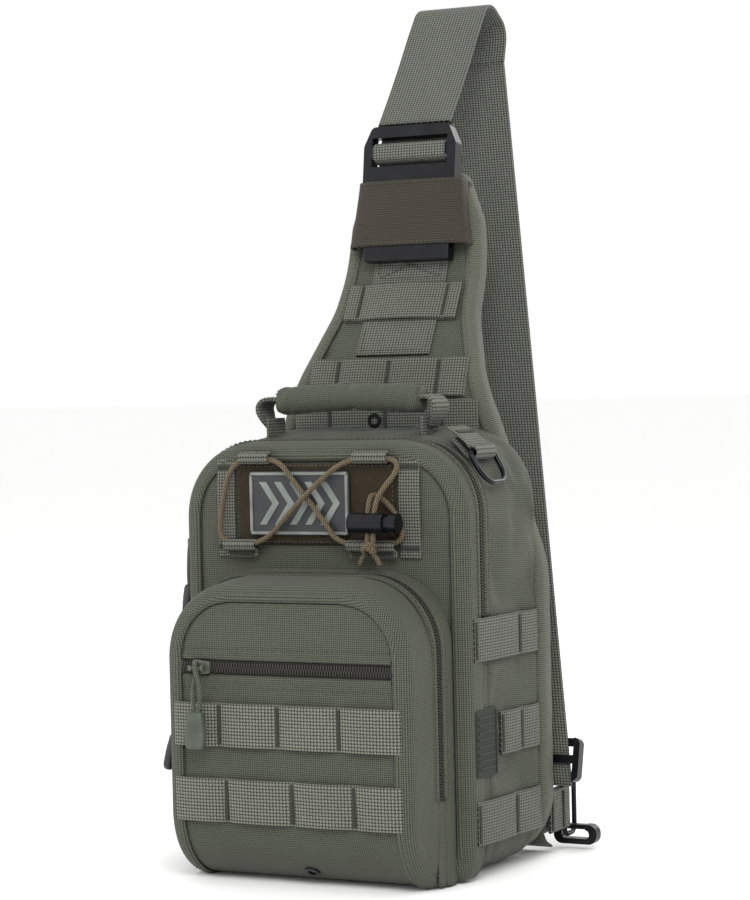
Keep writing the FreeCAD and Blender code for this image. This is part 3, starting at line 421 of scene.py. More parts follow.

# %% [markdown]
# ### Textiles
# The body is heavy coated nylon in a dull green. A real one has threads about half a millimetre apart,
# too fine to show, so they are drawn 1.2 mm apart. The load webbing is a coarser plain weave with
# pale threads over gaps darkened with painted shade, the edge tape is grosgrain, and the wearer's side is a
# spacer mesh.

# %% Textile finishes
# Each light swatch is the thread tops; each dark swatch is painted shade for the gaps between threads.
nylon_fabric = textile("nylon_cloth_plain_woven", "#56594d", "#10110b", plain_weave, 1.2, 1.2, 0.3, 0.75)
nylon_webbing = textile("nylon_webbing_woven", "#74766a", "#060705", plain_weave, 1.9, 2.0, 0.8, 0.65, 0.08)
dark_webbing = textile("nylon_webbing_fine_woven", "#686a60", "#080907", plain_weave, 1.7, 1.8, 0.7, 0.65,
                       0.08)
strap_webbing = textile("nylon_strap_woven", "#686a62", "#070806", plain_weave, 1.9, 1.7, 0.6, 0.65, 0.08)
binding_tape = textile("nylon_grosgrain", "#5e6054", "#0e0f0a", ribs, 0.7, 1.2, 0.4, 0.66)
elastic_tape = textile("rubber_elastic_woven", "#3a352d", "#14110d", ribs, 1.2, 1.4, 0.4, 0.7)
loop_pile = textile("nylon_loop_pile", "#43351c", "#110c06", braid, 1.6, 1.6, 0.8, 0.95, 0.08, 0.2)
shock_braid = textile("polyester_cord_braided", "#7b6b50", "#2a251c", braid, 1.6, 2.0, 0.4, 0.6, 0.1)
pull_braid = textile("nylon_cord_braided", "#6b6f60", "#25271f", braid, 1.5, 1.8, 0.4, 0.6, 0.1)
coil_nylon = textile("nylon_coil_extruded", "#3a3833", "#100f0d", ribs, 1.0, 1.0, 0.1, 0.38, 0.0)
zip_tape = textile("polyester_tape_knitted", "#2c2c26", "#121210", ribs, 1.0, 1.0, 0.3, 0.8)
thread = textile("polyester_thread_spun", "#5c5f50", "#2c2d25", braid, 0.4, 0.6, 0.1, 0.55, 0.1)
bartack_thread = textile("polyester_bartack_sewn", "#3a3b32", "#181914", ribs, 1.0, 0.9, 0.4, 0.6, 0.1)
lining_cloth = textile("nylon_lining_woven", "#3c3d35", "#22231e", plain_weave, 0.9, 0.9, 0.15, 0.7)


def spacer_mesh():
    """Knitted spacer mesh: a felt of pale threads with a regular field of round holes, painted dark as shade.
    """
    material, tree, shader = start_finish("polyester_spacer_knitted", 0.85, Sheen_Weight=0.2)
    u, v = threads(tree, 3.4, 3.0)
    shift = maths(tree, "MULTIPLY", maths(tree, "PINGPONG", maths(tree, "FLOOR", v), 1.0), 0.5)
    fu = maths(tree, "SUBTRACT", maths(tree, "FRACT", maths(tree, "ADD", u, shift)), 0.5)
    fv = maths(tree, "SUBTRACT", maths(tree, "FRACT", v), 0.5)
    square = maths(tree, "ADD", maths(tree, "MULTIPLY", fu, fu), maths(tree, "MULTIPLY", fv, fv))
    hole = node(tree, "ShaderNodeMapRange",
                {0: maths(tree, "SQRT", square), 1: 0.22, 2: 0.36, 3: 0.0, 4: 1.0})
    # Painted shade: the holes are not cut, so their dark colour stands in for the shade inside them.
    tree.links.new(two_tone(tree, hole.outputs[0], "#14150f", "#4e5045"), shader.inputs["Base Color"])
    bump = node(tree, "ShaderNodeBump", {"Strength": 1.0, "Distance": 0.9 * MM, "Height": hole.outputs[0]})
    tree.links.new(bump.outputs[0], shader.inputs["Normal"])
    return material


air_mesh = spacer_mesh()

# %% [markdown]
# ### Plastics, rubber and metal
# Moulded acetal is near black with a fine spark-eroded grain and a soft shine; rubber is duller; the
# sliders are zinc with a baked green enamel that has worn a little; rings are black-coated steel wire.

# %% Moulded and cast finishes
def moulded(name, light, dark, roughness, grain_mm, relief_mm, metallic=0.0, **uniform):
    """A moulded, cast or drawn surface: a fine grain, and slow patches of wear and handling."""
    material, tree, shader = start_finish(name, roughness, metallic, **uniform)
    place = node(tree, "ShaderNodeTexCoord").outputs["Object"]
    grain = node(tree, "ShaderNodeTexNoise", {"Vector": place, "Scale": 1 / (grain_mm * MM), "Detail": 3.0})
    slow = node(tree, "ShaderNodeTexNoise", {"Vector": place, "Scale": 1 / (9 * MM), "Detail": 4.0})
    tone = two_tone(tree, slow.outputs[0], dark, light, 0.35, 0.75)
    tree.links.new(tone, shader.inputs["Base Color"])
    rough = maths(tree, "MULTIPLY_ADD", slow.outputs[0], 0.25, roughness - 0.12)
    tree.links.new(rough, shader.inputs["Roughness"])
    bump = node(tree, "ShaderNodeBump",
                {"Strength": 0.5, "Distance": relief_mm * MM, "Height": grain.outputs[0]})
    tree.links.new(bump.outputs[0], shader.inputs["Normal"])
    return material


black_acetal = moulded("acetal_moulded", "#101117", "#07070a", 0.32, 0.5, 0.05, Specular_IOR_Level=0.25)
zip_enamel = moulded("zinc_cast_enamelled", "#62685c", "#3f433a", 0.34, 0.6, 0.04)
black_wire = moulded("steel_wire_black_coated", "#14151a", "#090a0c", 0.32, 0.5, 0.03, 0.6)
bare_steel = moulded("spring_steel_drawn", "#8c8c8a", "#5e5e5c", 0.3, 0.4, 0.02, 1.0)
grip_rubber = moulded("tpe_rubber_moulded", "#4e554c", "#363c34", 0.6, 0.5, 0.08)
dark_rubber = moulded("tpe_rubber_dark", "#2d2f2c", "#1a1c1a", 0.5, 0.5, 0.08)
patch_pale = moulded("pvc_rubber_grey_green", "#7b807b", "#5f6560", 0.55, 0.6, 0.08)
patch_dark = moulded("pvc_rubber_dark", "#262a2c", "#1a1d1f", 0.5, 0.6, 0.08)
label_rubber = moulded("pvc_rubber_label", "#23281f", "#171b15", 0.55, 0.6, 0.08, Specular_IOR_Level=0.3)
print("finishes", len(bpy.data.materials))

# %% [markdown]
# ## Padded fabric
# A lined, padded wall stays put along its seams and swells between them. Each wall is built flat on its
# CAD form, its seams are held, and Blender's cloth solver blows it out a little with air pressure. The
# result is applied, with a cap on how far any point may move, so no piece leaves its place.

# %% Swelling by cloth simulation
SETTLE_FRAMES = 20


def swell(piece, held, pressure, cap, floor=None):
    """Blow a sheet out between its held points, then keep the shape."""
    rest = np.array([v.co for v in piece.data.vertices])
    group = piece.vertex_groups.new(name="sewn")
    group.add([int(i) for i in np.flatnonzero(held)], 1.0, "REPLACE")
    cloth = piece.modifiers.new("air", "CLOTH")
    piece.modifiers.move(len(piece.modifiers) - 1, 0)
    settings = cloth.settings
    settings.vertex_group_mass = "sewn"
    settings.quality = 6
    settings.mass = 0.12
    settings.tension_stiffness = 14
    settings.compression_stiffness = 14
    settings.bending_stiffness = 0.4
    settings.use_pressure = True
    settings.uniform_pressure_force = pressure
    settings.shrink_min = -0.035
    settings.effector_weights.gravity = 0.0
    shown = [(m, m.show_viewport) for m in piece.modifiers if m != cloth]
    for m, _ in shown:
        m.show_viewport = False
    for f in range(1, SETTLE_FRAMES + 1):
        bpy.context.scene.frame_set(f)
    blown = piece.evaluated_get(bpy.context.evaluated_depsgraph_get()).to_mesh()
    moved = np.array([v.co for v in blown.vertices]) - rest
    far = np.linalg.norm(moved, axis=1)
    limit = cap * MM
    scale = np.where(far > 1e-9, limit * np.tanh(far / limit) / np.maximum(far, 1e-9), 0.0)
    moved *= scale[:, None]
    new = rest + moved
    if floor is not None:
        new[:, 2] = np.maximum(new[:, 2], floor * MM)
    piece.data.vertices.foreach_set("co", new.ravel())
    piece.modifiers.remove(cloth)
    piece.vertex_groups.clear()
    for m, was in shown:
        m.show_viewport = was
    bpy.context.scene.frame_set(1)
    piece.data.update()
    print(piece.name, "swelled by up to", round(1000 * float(np.linalg.norm(moved, axis=1).max()), 1), "mm")
    return piece


def softened(piece, levels=1):
    finer = piece.modifiers.new("finer", "SUBSURF")
    finer.levels = levels
    finer.render_levels = levels
    piece.modifiers.move(len(piece.modifiers) - 1, 0)
    return piece

# %% [markdown]
# ### Front walls
# The compartment's front and the pocket's front are each one sewn shell: a face, a rounded edge and the
# side strip that runs back to the zip. Making face, edge and strip as one mesh keeps the corner closed.

# %% Shells with a rounded edge
def half_width(z, half, high, low_r, top_r):
    if z < low_r:
        return half - low_r + math.sqrt(max(low_r ** 2 - (low_r - z) ** 2, 0))
    if z > high - top_r:
        return half - top_r + math.sqrt(max(top_r ** 2 - (z - high + top_r) ** 2, 0))
    return half


def edge_normal(x, z, half, high, low_r, top_r):
    side = math.copysign(1.0, x)
    if z < low_r and abs(x) > half - low_r:
        d = np.array([abs(x) - half + low_r, z - low_r])
    elif z > high - top_r and abs(x) > half - top_r:
        d = np.array([abs(x) - half + top_r, z - high + top_r])
    elif min(z, high - z) < half - abs(x):
        return np.array([0.0, -1.0 if z < high / 2 else 1.0])
    else:
        d = np.array([1.0, 0.0])
    d = d / np.linalg.norm(d)
    return np.array([side * d[0], d[1]])


def edge_distance(x, z, half, high, low_r, top_r):
    ax = abs(x)
    if z < low_r and ax > half - low_r:
        return low_r - math.hypot(ax - half + low_r, z - low_r)
    if z > high - top_r and ax > half - top_r:
        return top_r - math.hypot(ax - half + top_r, z - high + top_r)
    return min(half - ax, high - z, z)


def rows_up(low, high, step, extra=()):
    """Heights from low to high, closer together at each corner, with a few extra rows."""
    even = np.linspace(0, 1, int((high - low) / step))
    eased = low + (high - low) * (even - 0.09 * np.sin(2 * math.pi * even))
    heights = [z for z in eased if all(abs(z - e) > 1.1 for e in extra)]
    return np.array(sorted(heights + [e for e in extra if low < e < high]))


SEAM_IN = 10.0
SEAM_STEPS = ((0.9, -0.9), (1.9, 0.1), (3.2, 0.7), (4.2, 0.5))     # out from the seam, and proud


def shell(name, rows, widths, normals, ring, ring_normals, depths, spread, material, closed):
    """A face that ends at its seam, the turned edge beyond it, a round corner and a side strip."""
    grid = np.array(rows)
    count, cols = grid.shape[:2]
    loop = [r * cols for r in range(count)] + [(count - 1) * cols + c for c in range(1, cols)]
    loop += [r * cols + cols - 1 for r in range(count - 2, -1, -1)]
    if closed:
        loop += list(range(cols - 2, 0, -1))
    points = list(grid.reshape(-1, 3))
    uvs = list(widths.reshape(-1, 2))
    faces = list(grid_faces(count, cols))
    before, size = loop, len(loop)
    base = np.array(ring)
    facing = np.array(normals)[np.array(loop) // cols]
    out = np.array(ring_normals)
    flat = SEAM_IN - EDGE_R
    layers = [base + out * s + facing * proud for s, proud in SEAM_STEPS]
    arcs = [s for s, _ in SEAM_STEPS]
    for a in np.linspace(0, math.pi / 2, 7):
        layers.append(base + out * (flat + EDGE_R * math.sin(a)) - facing * EDGE_R * (1 - math.cos(a)))
        arcs.append(flat + EDGE_R * a)
    last, turned = layers[-1], arcs[-1]
    for y in depths:
        reach = np.maximum(y - last[:, 1], 0.0)
        step = np.stack([reach * out[:, 0] * spread[0], reach, reach * np.maximum(out[:, 2], 0) * spread[1]],
                        axis=1)
        layers.append(last + step)
        arcs.append(turned + float(np.median(reach)))
    plane = np.stack([out[:, 0], out[:, 2]], axis=1)
    uv_base = widths.reshape(-1, 2)[loop]
    for layer, arc in zip(layers, arcs):
        first = len(points)
        points += list(layer)
        uvs += list(uv_base + plane * arc)
        now = list(range(first, first + size))
        last_one = size if closed else size - 1
        faces += [(before[i], now[i], now[(i + 1) % size], before[(i + 1) % size]) for i in range(last_one)]
        before = now
    return mesh_piece(name, points, faces, uvs, material), count * cols

# %% [markdown]
# ### The main front
# Above the pocket this wall carries the loop panel, the patch and the laced cord. It is one cloth.

# %% Compartment front
def face_rows(size, heights, proud):
    """Rows of points across a face that ends at its seam, a set distance inside the edge."""
    inner = (size[0] - SEAM_IN, size[1] - SEAM_IN, max(size[2] - SEAM_IN, 0.01), size[3] - SEAM_IN)
    rows = []
    for z in heights:
        w = half_width(z, *inner)
        rows.append([(x, proud(x, z), z) for x in np.linspace(-w, w, 41)])
    return rows


def make_compartment_front():
    size = front_size(BODY)

    def y_at(x, z):
        calm = abs(x) < 62 and z < 244
        return PANEL_Y - (0.0 if calm else 0.4 + 0.4 * float(wrinkle((x, 0, z), 16, 1.0, 2.0)))

    heights = rows_up(SEAM_IN, size[1] - SEAM_IN - 0.01, 4.5)
    rows = face_rows(size, heights, y_at)
    uvs = np.array([[(p[0], p[2]) for p in row] for row in rows])
    facing = [(0.0, -1.0, 0.0)] * len(rows)
    grid = np.array(rows)
    ring = np.vstack([grid[:, 0], grid[-1, 1:], grid[::-1][1:, -1], grid[0, -2:0:-1]])
    ring[:, 1] = PANEL_Y
    out = np.array([(n[0], 0.0, n[1]) for n in (edge_normal(p[0], p[2], *size) for p in ring)])
    piece, _ = shell("compartment_front", rows, uvs, facing, ring, out, (-35.0, MAIN_ZIP[0]),
                     flare(BODY), nylon_fabric, True)
    thickened(softened(piece), CLOTH_T)
    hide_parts("main_front_panel", "main_flap_panel", "main_gusset_front")
    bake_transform(piece)


make_compartment_front()

# %% [markdown]
# ### The compartment's sides
# Behind the zip the side wall runs back to the wearer's panel. Webbing rows are sewn across it, so it is
# held under them and swells between them.

# %% Compartment sides, top and bottom
def wall_grid(form, depths, keep=None, proud=0.0):
    grid = []
    for y in depths:
        ring = form_at(form, y)
        ring = np.vstack([ring, ring[:1]])
        if keep is not None:
            ring = ring[keep(ring)]
        grid.append([(x + nx * proud, y, max(z + nz * proud, 0.0)) for x, z, nx, nz in ring])
    return np.array(grid)


SIDE_ROWS = ((137.0, -39.0), (81.5, -10.0), (33.0, -39.0))


def under_row(p):
    on = np.zeros(len(p), bool)
    for z, front in SIDE_ROWS:
        on |= (abs(p[:, 2] - z) < WEB / 2 + 0.5) & (p[:, 1] > front) & (abs(p[:, 0]) > 85)
    return on


def make_compartment_sides():
    depths = list(np.linspace(MAIN_ZIP[1], 39.4, 15))
    grid = wall_grid(BODY, depths)
    piece = cloth_sheet("compartment_side_rear", grid, nylon_fabric, CLOTH_T, flip=True)
    p = grid.reshape(-1, 3)
    held = (p[:, 1] < MAIN_ZIP[1] + 4) | (p[:, 1] > 37) | under_row(p) | (p[:, 2] < 0.5)
    held |= (abs(p[:, 0]) > 60) & (p[:, 2] > 205) & (p[:, 1] < 10)
    swell(piece, held, 3.0, 3.0, 0.0)
    placed(softened(piece), "root", "nylon_fabric", "main_gusset_rear")
    make_back_wall()
    ring = form_at(BODY, 0.0)
    low = cloth_sheet("compartment_side_low", wall_grid(BODY, np.linspace(*MAIN_ZIP, 4), below_zip),
                      nylon_fabric, CLOTH_T, flip=True)
    placed(softened(low), "root", "nylon_fabric", "main_gusset_rear")
    print("outline length", round(float(run_length(ring[:, :2])[-1])), "mm")


def make_back_wall():
    """The compartment's back wall, which shows at the shoulders where the wearer's panel narrows."""
    size = (BODY["half1"], BODY["high1"], BODY["low_r"], BODY["top_r"])
    rows = []
    for z in rows_up(0.6, size[1] - 0.6, 6.0):
        w = half_width(z, *size) - 0.4
        rows.append([(x, 39.0 + 0.5 * math.cos(math.pi * x / (2 * w)), z) for x in np.linspace(w, -w, 31)])
    wall = cloth_sheet("compartment_back_wall", np.array(rows), nylon_fabric, 1.2)
    placed(softened(wall), "root", "nylon_fabric")


def below_zip(ring):
    """The part of the outline under the zip's ends, in one run from the left end round to the right."""
    low = np.flatnonzero(ring[:, 1] < MAIN_ZIP_END + 2)
    split = np.flatnonzero(np.diff(low) > 1)[0] + 1
    return np.concatenate([low[split:-1], low[:split]])


make_compartment_sides()

# %% [markdown]
# ### The pocket
# Its front is a padded face that rolls under at the belly. A slit with its own zip crosses it, and two
# webbing rows are sewn on below. The face is held at the seams, the slit and the rows.

# %% Pocket front
P_SIZE = front_size(POCKET)


def pocket_line():
    """Side profile of the pocket's face: (y, z, facing y, facing z), from under the belly to the top."""
    line = [(y, 0.0, 0.0, -1.0) for y in (-44.0, -47.5)]
    for a in np.linspace(0, 90, 15):
        c, s = math.cos(math.radians(a)), math.sin(math.radians(a))
        line.append((POCKET_Y + BELLY_R - BELLY_R * s, BELLY_R - BELLY_R * c, -s, -c))
    slit = (118.2, 119.0, 119.6, 120.4, 124.0, 127.6, 128.4, 129.0, 129.8)
    line += [(POCKET_Y, z, -1.0, 0.0) for z in rows_up(41.0, P_SIZE[1] - SEAM_IN - 0.01, 3.6, slit)]
    return line


def on_slit(x, z):
    return SLIT_X[0] - 1 < x < SLIT_X[1] + 1 and abs(z - SLIT_Z) < 4.2


def pocket_proud(x, z):
    """How far the sewn face stands out of the CAD face, before it is blown out."""
    if on_slit(x, z):
        return -2.6
    lips = 0.9 * math.exp(-((abs(z - SLIT_Z) - 5.6) / 1.4) ** 2) if SLIT_X[0] - 3 < x < SLIT_X[1] + 3 else 0.0
    inside = min(1.0, max(0.0, (P_SIZE[0] - SEAM_IN - abs(x)) / 6.0))
    return lips + inside * 0.35 * float(wrinkle((x, 0, z), 12, 1.0))


def make_pocket_front():
    rows, uvs, facing = [], [], []
    along = 0.0
    line = pocket_line()
    for i, (y, z, fy, fz) in enumerate(line):
        if i:
            along += math.hypot(y - line[i - 1][0], z - line[i - 1][1])
        w = half_width(z, P_SIZE[0] - SEAM_IN, P_SIZE[1] - SEAM_IN, 0.01, P_SIZE[3] - SEAM_IN)
        xs = np.linspace(-w, w, 45)
        push = [pocket_proud(x, z) if z > 8 else 0.0 for x in xs]
        rows.append([(x, y + fy * k, z + fz * k) for x, k in zip(xs, push)])
        uvs.append([(x, along) for x in xs])
        facing.append((0.0, fy, fz))
    grid = np.array(rows)
    ring = np.vstack([grid[:, 0], grid[-1, 1:], grid[::-1][1:, -1]])
    ring[ring[:, 2] > 42.0, 1] = POCKET_Y
    out = []
    for x, y, z in ring:
        n = (edge_normal(x, z, P_SIZE[0], P_SIZE[1], 0.01, P_SIZE[3]) if z > 100
             else (math.copysign(1, x), 0.0))
        out.append((n[0], 0.0, n[1]))
    piece, face_count = shell("pocket_front", rows, np.array(uvs), facing, ring, out,
                              (-77.0, -70.0, POCKET_ZIP[0]),
                              flare(POCKET), nylon_fabric, False)
    p = np.array([v.co for v in piece.data.vertices]) / MM
    inner = np.array([edge_distance(x, max(z, 60.0), *P_SIZE) for x, y, z in p])
    held = inner < SEAM_IN + 0.8
    for z, _ in ROWS.values():
        held |= abs(p[:, 2] - z) < WEB / 2 + 1.0
    held |= (abs(p[:, 2] - SLIT_Z) < 8.5) | (np.arange(len(p)) >= face_count) | (p[:, 2] < 6)
    swell(piece, held, 4.0, 4.0, 0.0)
    thickened(softened(piece), CLOTH_T)
    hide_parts("pocket_upper_panel", "pocket_lower_panel", "pocket_gusset_front")
    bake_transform(piece)


make_pocket_front()


# %% Pocket sides behind the zip
def pocket_side(name, depths, keep_low, sag):
    """A strip of the pocket's side wall, its lower end rolled in with the belly."""
    grid = []
    for y in depths:
        t = (y - POCKET["y0"]) / (POCKET["y1"] - POCKET["y0"])
        half = POCKET["half0"] + (POCKET["half1"] - POCKET["half0"]) * t
        high = POCKET["high0"] + (POCKET["high1"] - POCKET["high0"]) * t
        floor = (BELLY_R
                 - math.sqrt(max(BELLY_R ** 2 - min(max(POCKET_Y + BELLY_R - y, 0.0), BELLY_R) ** 2, 0.0))
                 + 0.3)
        ring = outline(half, high, 0.5, POCKET["top_r"])
        right = ring[(ring[:, 0] >= -1e-6) & (ring[:, 1] > 1.0)]
        zs = np.concatenate([np.linspace(floor, POCKET_ZIP_END, 9)[:-1],
                             np.linspace(POCKET_ZIP_END, high - POCKET["top_r"], 14)[:-1]])
        side = ([(half, z) for z in zs]
                + [(x, z) for x, z in right[right[:, 1] >= high - POCKET["top_r"] - 0.01, :2]])
        bulge = sag * math.sin(math.pi * (y - depths[0]) / (depths[-1] - depths[0]))
        side = [(x + bulge * min(1.0, x / half), y, z) for x, z in side]
        if keep_low:
            side = side[:9]
            grid.append(side)
        else:
            grid.append([(-x, yy, z) for x, yy, z in side] + side[::-1][1:])
    grid = np.array(grid)
    if not keep_low:
        return [cloth_sheet(name, grid, nylon_fabric, CLOTH_T, flip=False)]
    mirror = grid * (-1, 1, 1)
    return [cloth_sheet(name, grid, nylon_fabric, CLOTH_T, flip=True),
            cloth_sheet(name + "_left", mirror, nylon_fabric, CLOTH_T, flip=False)]


rear = pocket_side("pocket_side_rear", np.linspace(POCKET_ZIP[1], -43.2, 5), False, 0.6)[0]
placed(softened(rear), "root", "nylon_fabric", "pocket_gusset_rear")
low = join("pocket_side_low", pocket_side("pocket_side_low", np.linspace(*POCKET_ZIP, 4), True, 0.0))
placed(softened(low), "root", "nylon_fabric", "pocket_gusset_rear")

# %% [markdown]
# ## Load webbing
# Rows of webbing are sewn down by narrow bar tacks, so that pouches can be laced on. Between two tacks
# the webbing stands a little off the fabric. Each row is a strap profile swept along a line that bulges
# between its tacks, and each tack is a dense block of satin stitches.

# %% Straps, rows and tacks
def strap(name, path, normal, width, thick, material, closed=False):
    """A strap along a line. normal is the way its face looks, at each point or for all."""
    path = np.asarray(path, float)
    normals = np.broadcast_to(np.asarray(normal, float), path.shape)
    sides = unit(np.cross(directions(path), normals))
    return sweep(name, path, sides, normals, web_profile(width, thick), material, closed)


def bulged(start, end, normal, tacks, height, base=0.0):
    """A line from start to end that stands off by height between its tacks (shares of the way)."""
    start, end, normal = (np.asarray(v, float) for v in (start, end, normal))
    length = np.linalg.norm(end - start)
    marks = [0.0] + sorted(tacks) + [1.0]
    points = []
    for a, b in zip(marks, marks[1:]):
        for t in np.linspace(0, 1, 12, endpoint=False):
            lift = height * math.sin(math.pi * t) ** 0.6 * min(1.0, (b - a) * length / 24.0)
            points.append(start + (end - start) * (a + (b - a) * t) + normal * (base + lift))
    points.append(end + normal * base)
    return np.array(points)


def tack(name, centre, along, normal, width, height):
    """A bar tack: satin stitches laid side by side across a strap. along is the strap's width."""
    centre, along, normal = (np.asarray(v, float) for v in (centre, along, normal))
    across = np.cross(along, normal)
    pitch = 0.75
    count = int(height / pitch)
    made = []
    for i in range(count):
        where = centre + along * ((i - (count - 1) / 2) * pitch)
        ends = [where - across * width / 2, where - across * width * 0.3 + normal * 0.45,
                where + across * width * 0.3 + normal * 0.45, where + across * width / 2]
        made.append(tube(name, ends, 0.42, bartack_thread, 5))
    return join(name, made)


def stitches(name, line, normal, pitch=3.4, size=0.34, gap=1.1):
    """A row of lockstitches: short capsules lying on the fabric, with needle holes between."""
    line = np.asarray(line, float)
    at = run_length(line)
    normal = np.broadcast_to(np.asarray(normal, float), line.shape)
    count = int(at[-1] / pitch)
    points, faces, uvs = [], [], []
    ring = [(math.cos(a), math.sin(a)) for a in np.linspace(0, 2 * math.pi, 6, endpoint=False)]
    for i in range(count):
        a, b = i * pitch + gap / 2, (i + 1) * pitch - gap / 2
        ends = [np.array([np.interp(s, at, line[:, k]) for k in range(3)]) for s in (a, b)]
        face = np.array([np.interp((a + b) / 2, at, normal[:, k]) for k in range(3)])
        along = (ends[1] - ends[0]) / max(np.linalg.norm(ends[1] - ends[0]), 1e-6)
        side = np.cross(along, face)
        side = side / max(np.linalg.norm(side), 1e-6)
        first = len(points)
        for t, r, lift in ((0.0, 0.45, -0.25), (0.22, 1.0, 0.12), (0.78, 1.0, 0.12), (1.0, 0.45, -0.25)):
            middle = ends[0] + (ends[1] - ends[0]) * t + face * lift
            points += [middle + (side * c + face * s * 0.8) * size * r for c, s in ring]
            uvs += [(c, t * pitch) for c, s in ring]
        faces += capped_faces(4, 6, first)
    return closed_form(mesh_piece(name, points, faces, uvs, thread))


# %% Front rows
def make_front_rows():
    for name, (z, tacks) in ROWS.items():
        half = 73.0
        shares = [(x + half) / (2 * half) for x in tacks]
        lean = 0.0 if name == "upper" else 0.03
        normal = (0.0, -math.cos(lean), -math.sin(lean))
        path = bulged((-half, POCKET_Y + 0.1, z), (half, POCKET_Y + 0.1, z), normal, shares, 2.6)
        row = strap("webbing_row_" + name, path, normal, WEB, WEB_T, nylon_webbing)
        sewn = [tack("t", (x, POCKET_Y - WEB_T - 0.15, z), (0, 0, 1), normal, 2.6, WEB - 2.0) for x in tacks]
        body = "pocket_flap" if name == "upper" else "root"
        placed(row, body, "nylon_webbing", "front_webbing_" + name)
        placed(join("row_tacks_" + name, sewn), body, "nylon_webbing")


make_front_rows()


# %% Side rows, label and their tacks
def side_x(y, proud=0.0):
    back = (y - BODY["y0"]) / (BODY["y1"] - BODY["y0"])
    return BODY["half0"] + back * (BODY["half1"] - BODY["half0"]) + proud


def make_side_rows():
    for side in (1, -1):
        parts, sewn = [], []
        for z, front in SIDE_ROWS:
            a, b = front + 0.8, 38.8
            tacks = [(y - a) / (b - a) for y in (front + 3.0, 15.6 if z != 33.0 else 8.0)]
            normal = np.array([side, -flare(BODY)[0], 0.0]) / math.hypot(1, flare(BODY)[0])
            path = bulged((side * side_x(a), a, z), (side * side_x(b), b, z), normal, tacks, 1.6, 0.25)
            parts.append(strap("w", path, normal, WEB, WEB_T, dark_webbing))
            for t in tacks:
                y = a + (b - a) * t
                sewn.append(tack("t", (side * side_x(y, WEB_T + 0.45), y, z), (0, 0, 1), normal, 2.4,
                                 WEB - 3.0))
        word = "right" if side > 0 else "left"
        placed(join("side_webbing_" + word, parts), "root", "nylon_webbing", "side_webbing")
        placed(join("side_tacks_" + word, sewn), "root", "nylon_webbing")


make_side_rows()


def plate(name, x0, x1, z0, z1, corner, thick, material, place):
    """A soft moulded plate with rounded corners and edges, in its own flat frame, then placed."""
    cx, cz, hw, hh = (x0 + x1) / 2, (z0 + z1) / 2, (x1 - x0) / 2, (z1 - z0) / 2
    loops = []
    for inset, level in ((0.0, 0.0), (0.0, 0.65), (0.12, 0.88), (0.45, 1.0), (1.2, 1.0), (2.0, 1.0)):
        inset = min(inset, 0.7 * min(hw, hh))
        ring = []
        r = max(corner - inset, 0.2)
        for q, (sx, sz) in enumerate(((1, 1), (-1, 1), (-1, -1), (1, -1))):
            for a in np.linspace(q * 90, q * 90 + 90, 6):
                ring.append((cx + sx * (hw - inset - r) + r * math.cos(math.radians(a)),
                             cz + sz * (hh - inset - r) + r * math.sin(math.radians(a)), level * thick))
        loops.append(ring)
    count = len(loops[0])
    flat = np.array([p for ring in loops for p in ring])
    faces = capped_faces(len(loops), count)
    points = np.array([place(*p) for p in flat])
    return closed_form(mesh_piece(name, points, faces, flat[:, :2], material), 2)


def make_label():
    """The side label: a rubber tab with a raised border and plain ribs."""
    def place(y, z, lift):
        return (side_x(y, lift + 0.1), y, z)
    parts = [plate("l", -39.0, -13.0, 58.5, 98.0, 2.5, 1.4, label_rubber, place)]
    parts += [plate("l", -35.5, -16.5, z, z + 1.7, 0.8, 2.1, label_rubber, place)
              for z in np.arange(63.0, 94.0, 4.1)]
    parts += [plate("l", y, y + 1.2, 60.0, 96.5, 0.6, 2.0, label_rubber, place) for y in (-38.0, -15.2)]
    placed(join("side_label_rubber", parts), "root", "label_rubber", "side_label")


make_label()

# %% [markdown]
# ## Zips
# A coil zip shows two rows of nylon loops that mesh in the middle, sewn to two tapes. The loops here
# are separate small bends of round coil, 1.7 mm apart, which is the pitch of a number 8 coil.

# %% Coils and tapes
def zip_coil(name, line, sides, normals, which, reach=3.4, pitch=1.7):
    """One row of a coil zip: a bent loop of nylon at every pitch, lying across the line."""
    line, sides, normals = (np.asarray(v, float) for v in (line, sides, normals))
    at = run_length(line)
    count = int(at[-1] / pitch)
    section = [(math.cos(a), math.sin(a)) for a in np.linspace(0, 2 * math.pi, 6, endpoint=False)]
    points, faces, uvs = [], [], []
    for i in range(count):
        s = (i + (0.25 if which > 0 else 0.75)) * pitch
        here, side, up = (np.array([np.interp(s, at, v[:, k]) for k in range(3)])
                          for v in (line, sides, normals))
        along = np.cross(side, up)
        bend = [(-0.55, -0.1, 0.5), (0.2, 0.55, 0.62), (reach * 0.6, 0.75, 0.62), (reach, 0.1, 0.5)]
        first = len(points)
        for out, lift, thick in bend:
            middle = here + side * which * out + up * lift
            points += [middle + (along * c + up * q) * thick for c, q in section]
            uvs += [(out, c) for c, q in section]
        faces += capped_faces(4, 6, first)
    return closed_form(mesh_piece(name, points, faces, uvs, coil_nylon))


def zip_path(form, y, end_z, proud=0.0):
    """The zip's line round a form: from its left end up, over and down, with side and facing."""
    ring = form_at(form, y)
    keep = ring[ring[:, 1] > end_z]
    split = np.flatnonzero(np.diff(np.flatnonzero(ring[:, 1] > end_z)) > 1)
    keep = keep if len(split) == 0 else np.roll(keep, -split[0] - 1, axis=0)
    ends = keep[[0, -1]].copy()
    ends[:, 1] = end_z
    keep = np.vstack([ends[:1], keep, ends[1:]])
    fine = resample(keep, 2.2)
    ns = unit(fine[:, 2:])
    line = np.stack([fine[:, 0] + ns[:, 0] * proud, np.full(len(fine), y), fine[:, 1] + ns[:, 1] * proud],
                    axis=1)
    normals = np.stack([ns[:, 0], np.zeros(len(fine)), ns[:, 1]], axis=1)
    return line, np.tile([0.0, 1.0, 0.0], (len(fine), 1)), normals


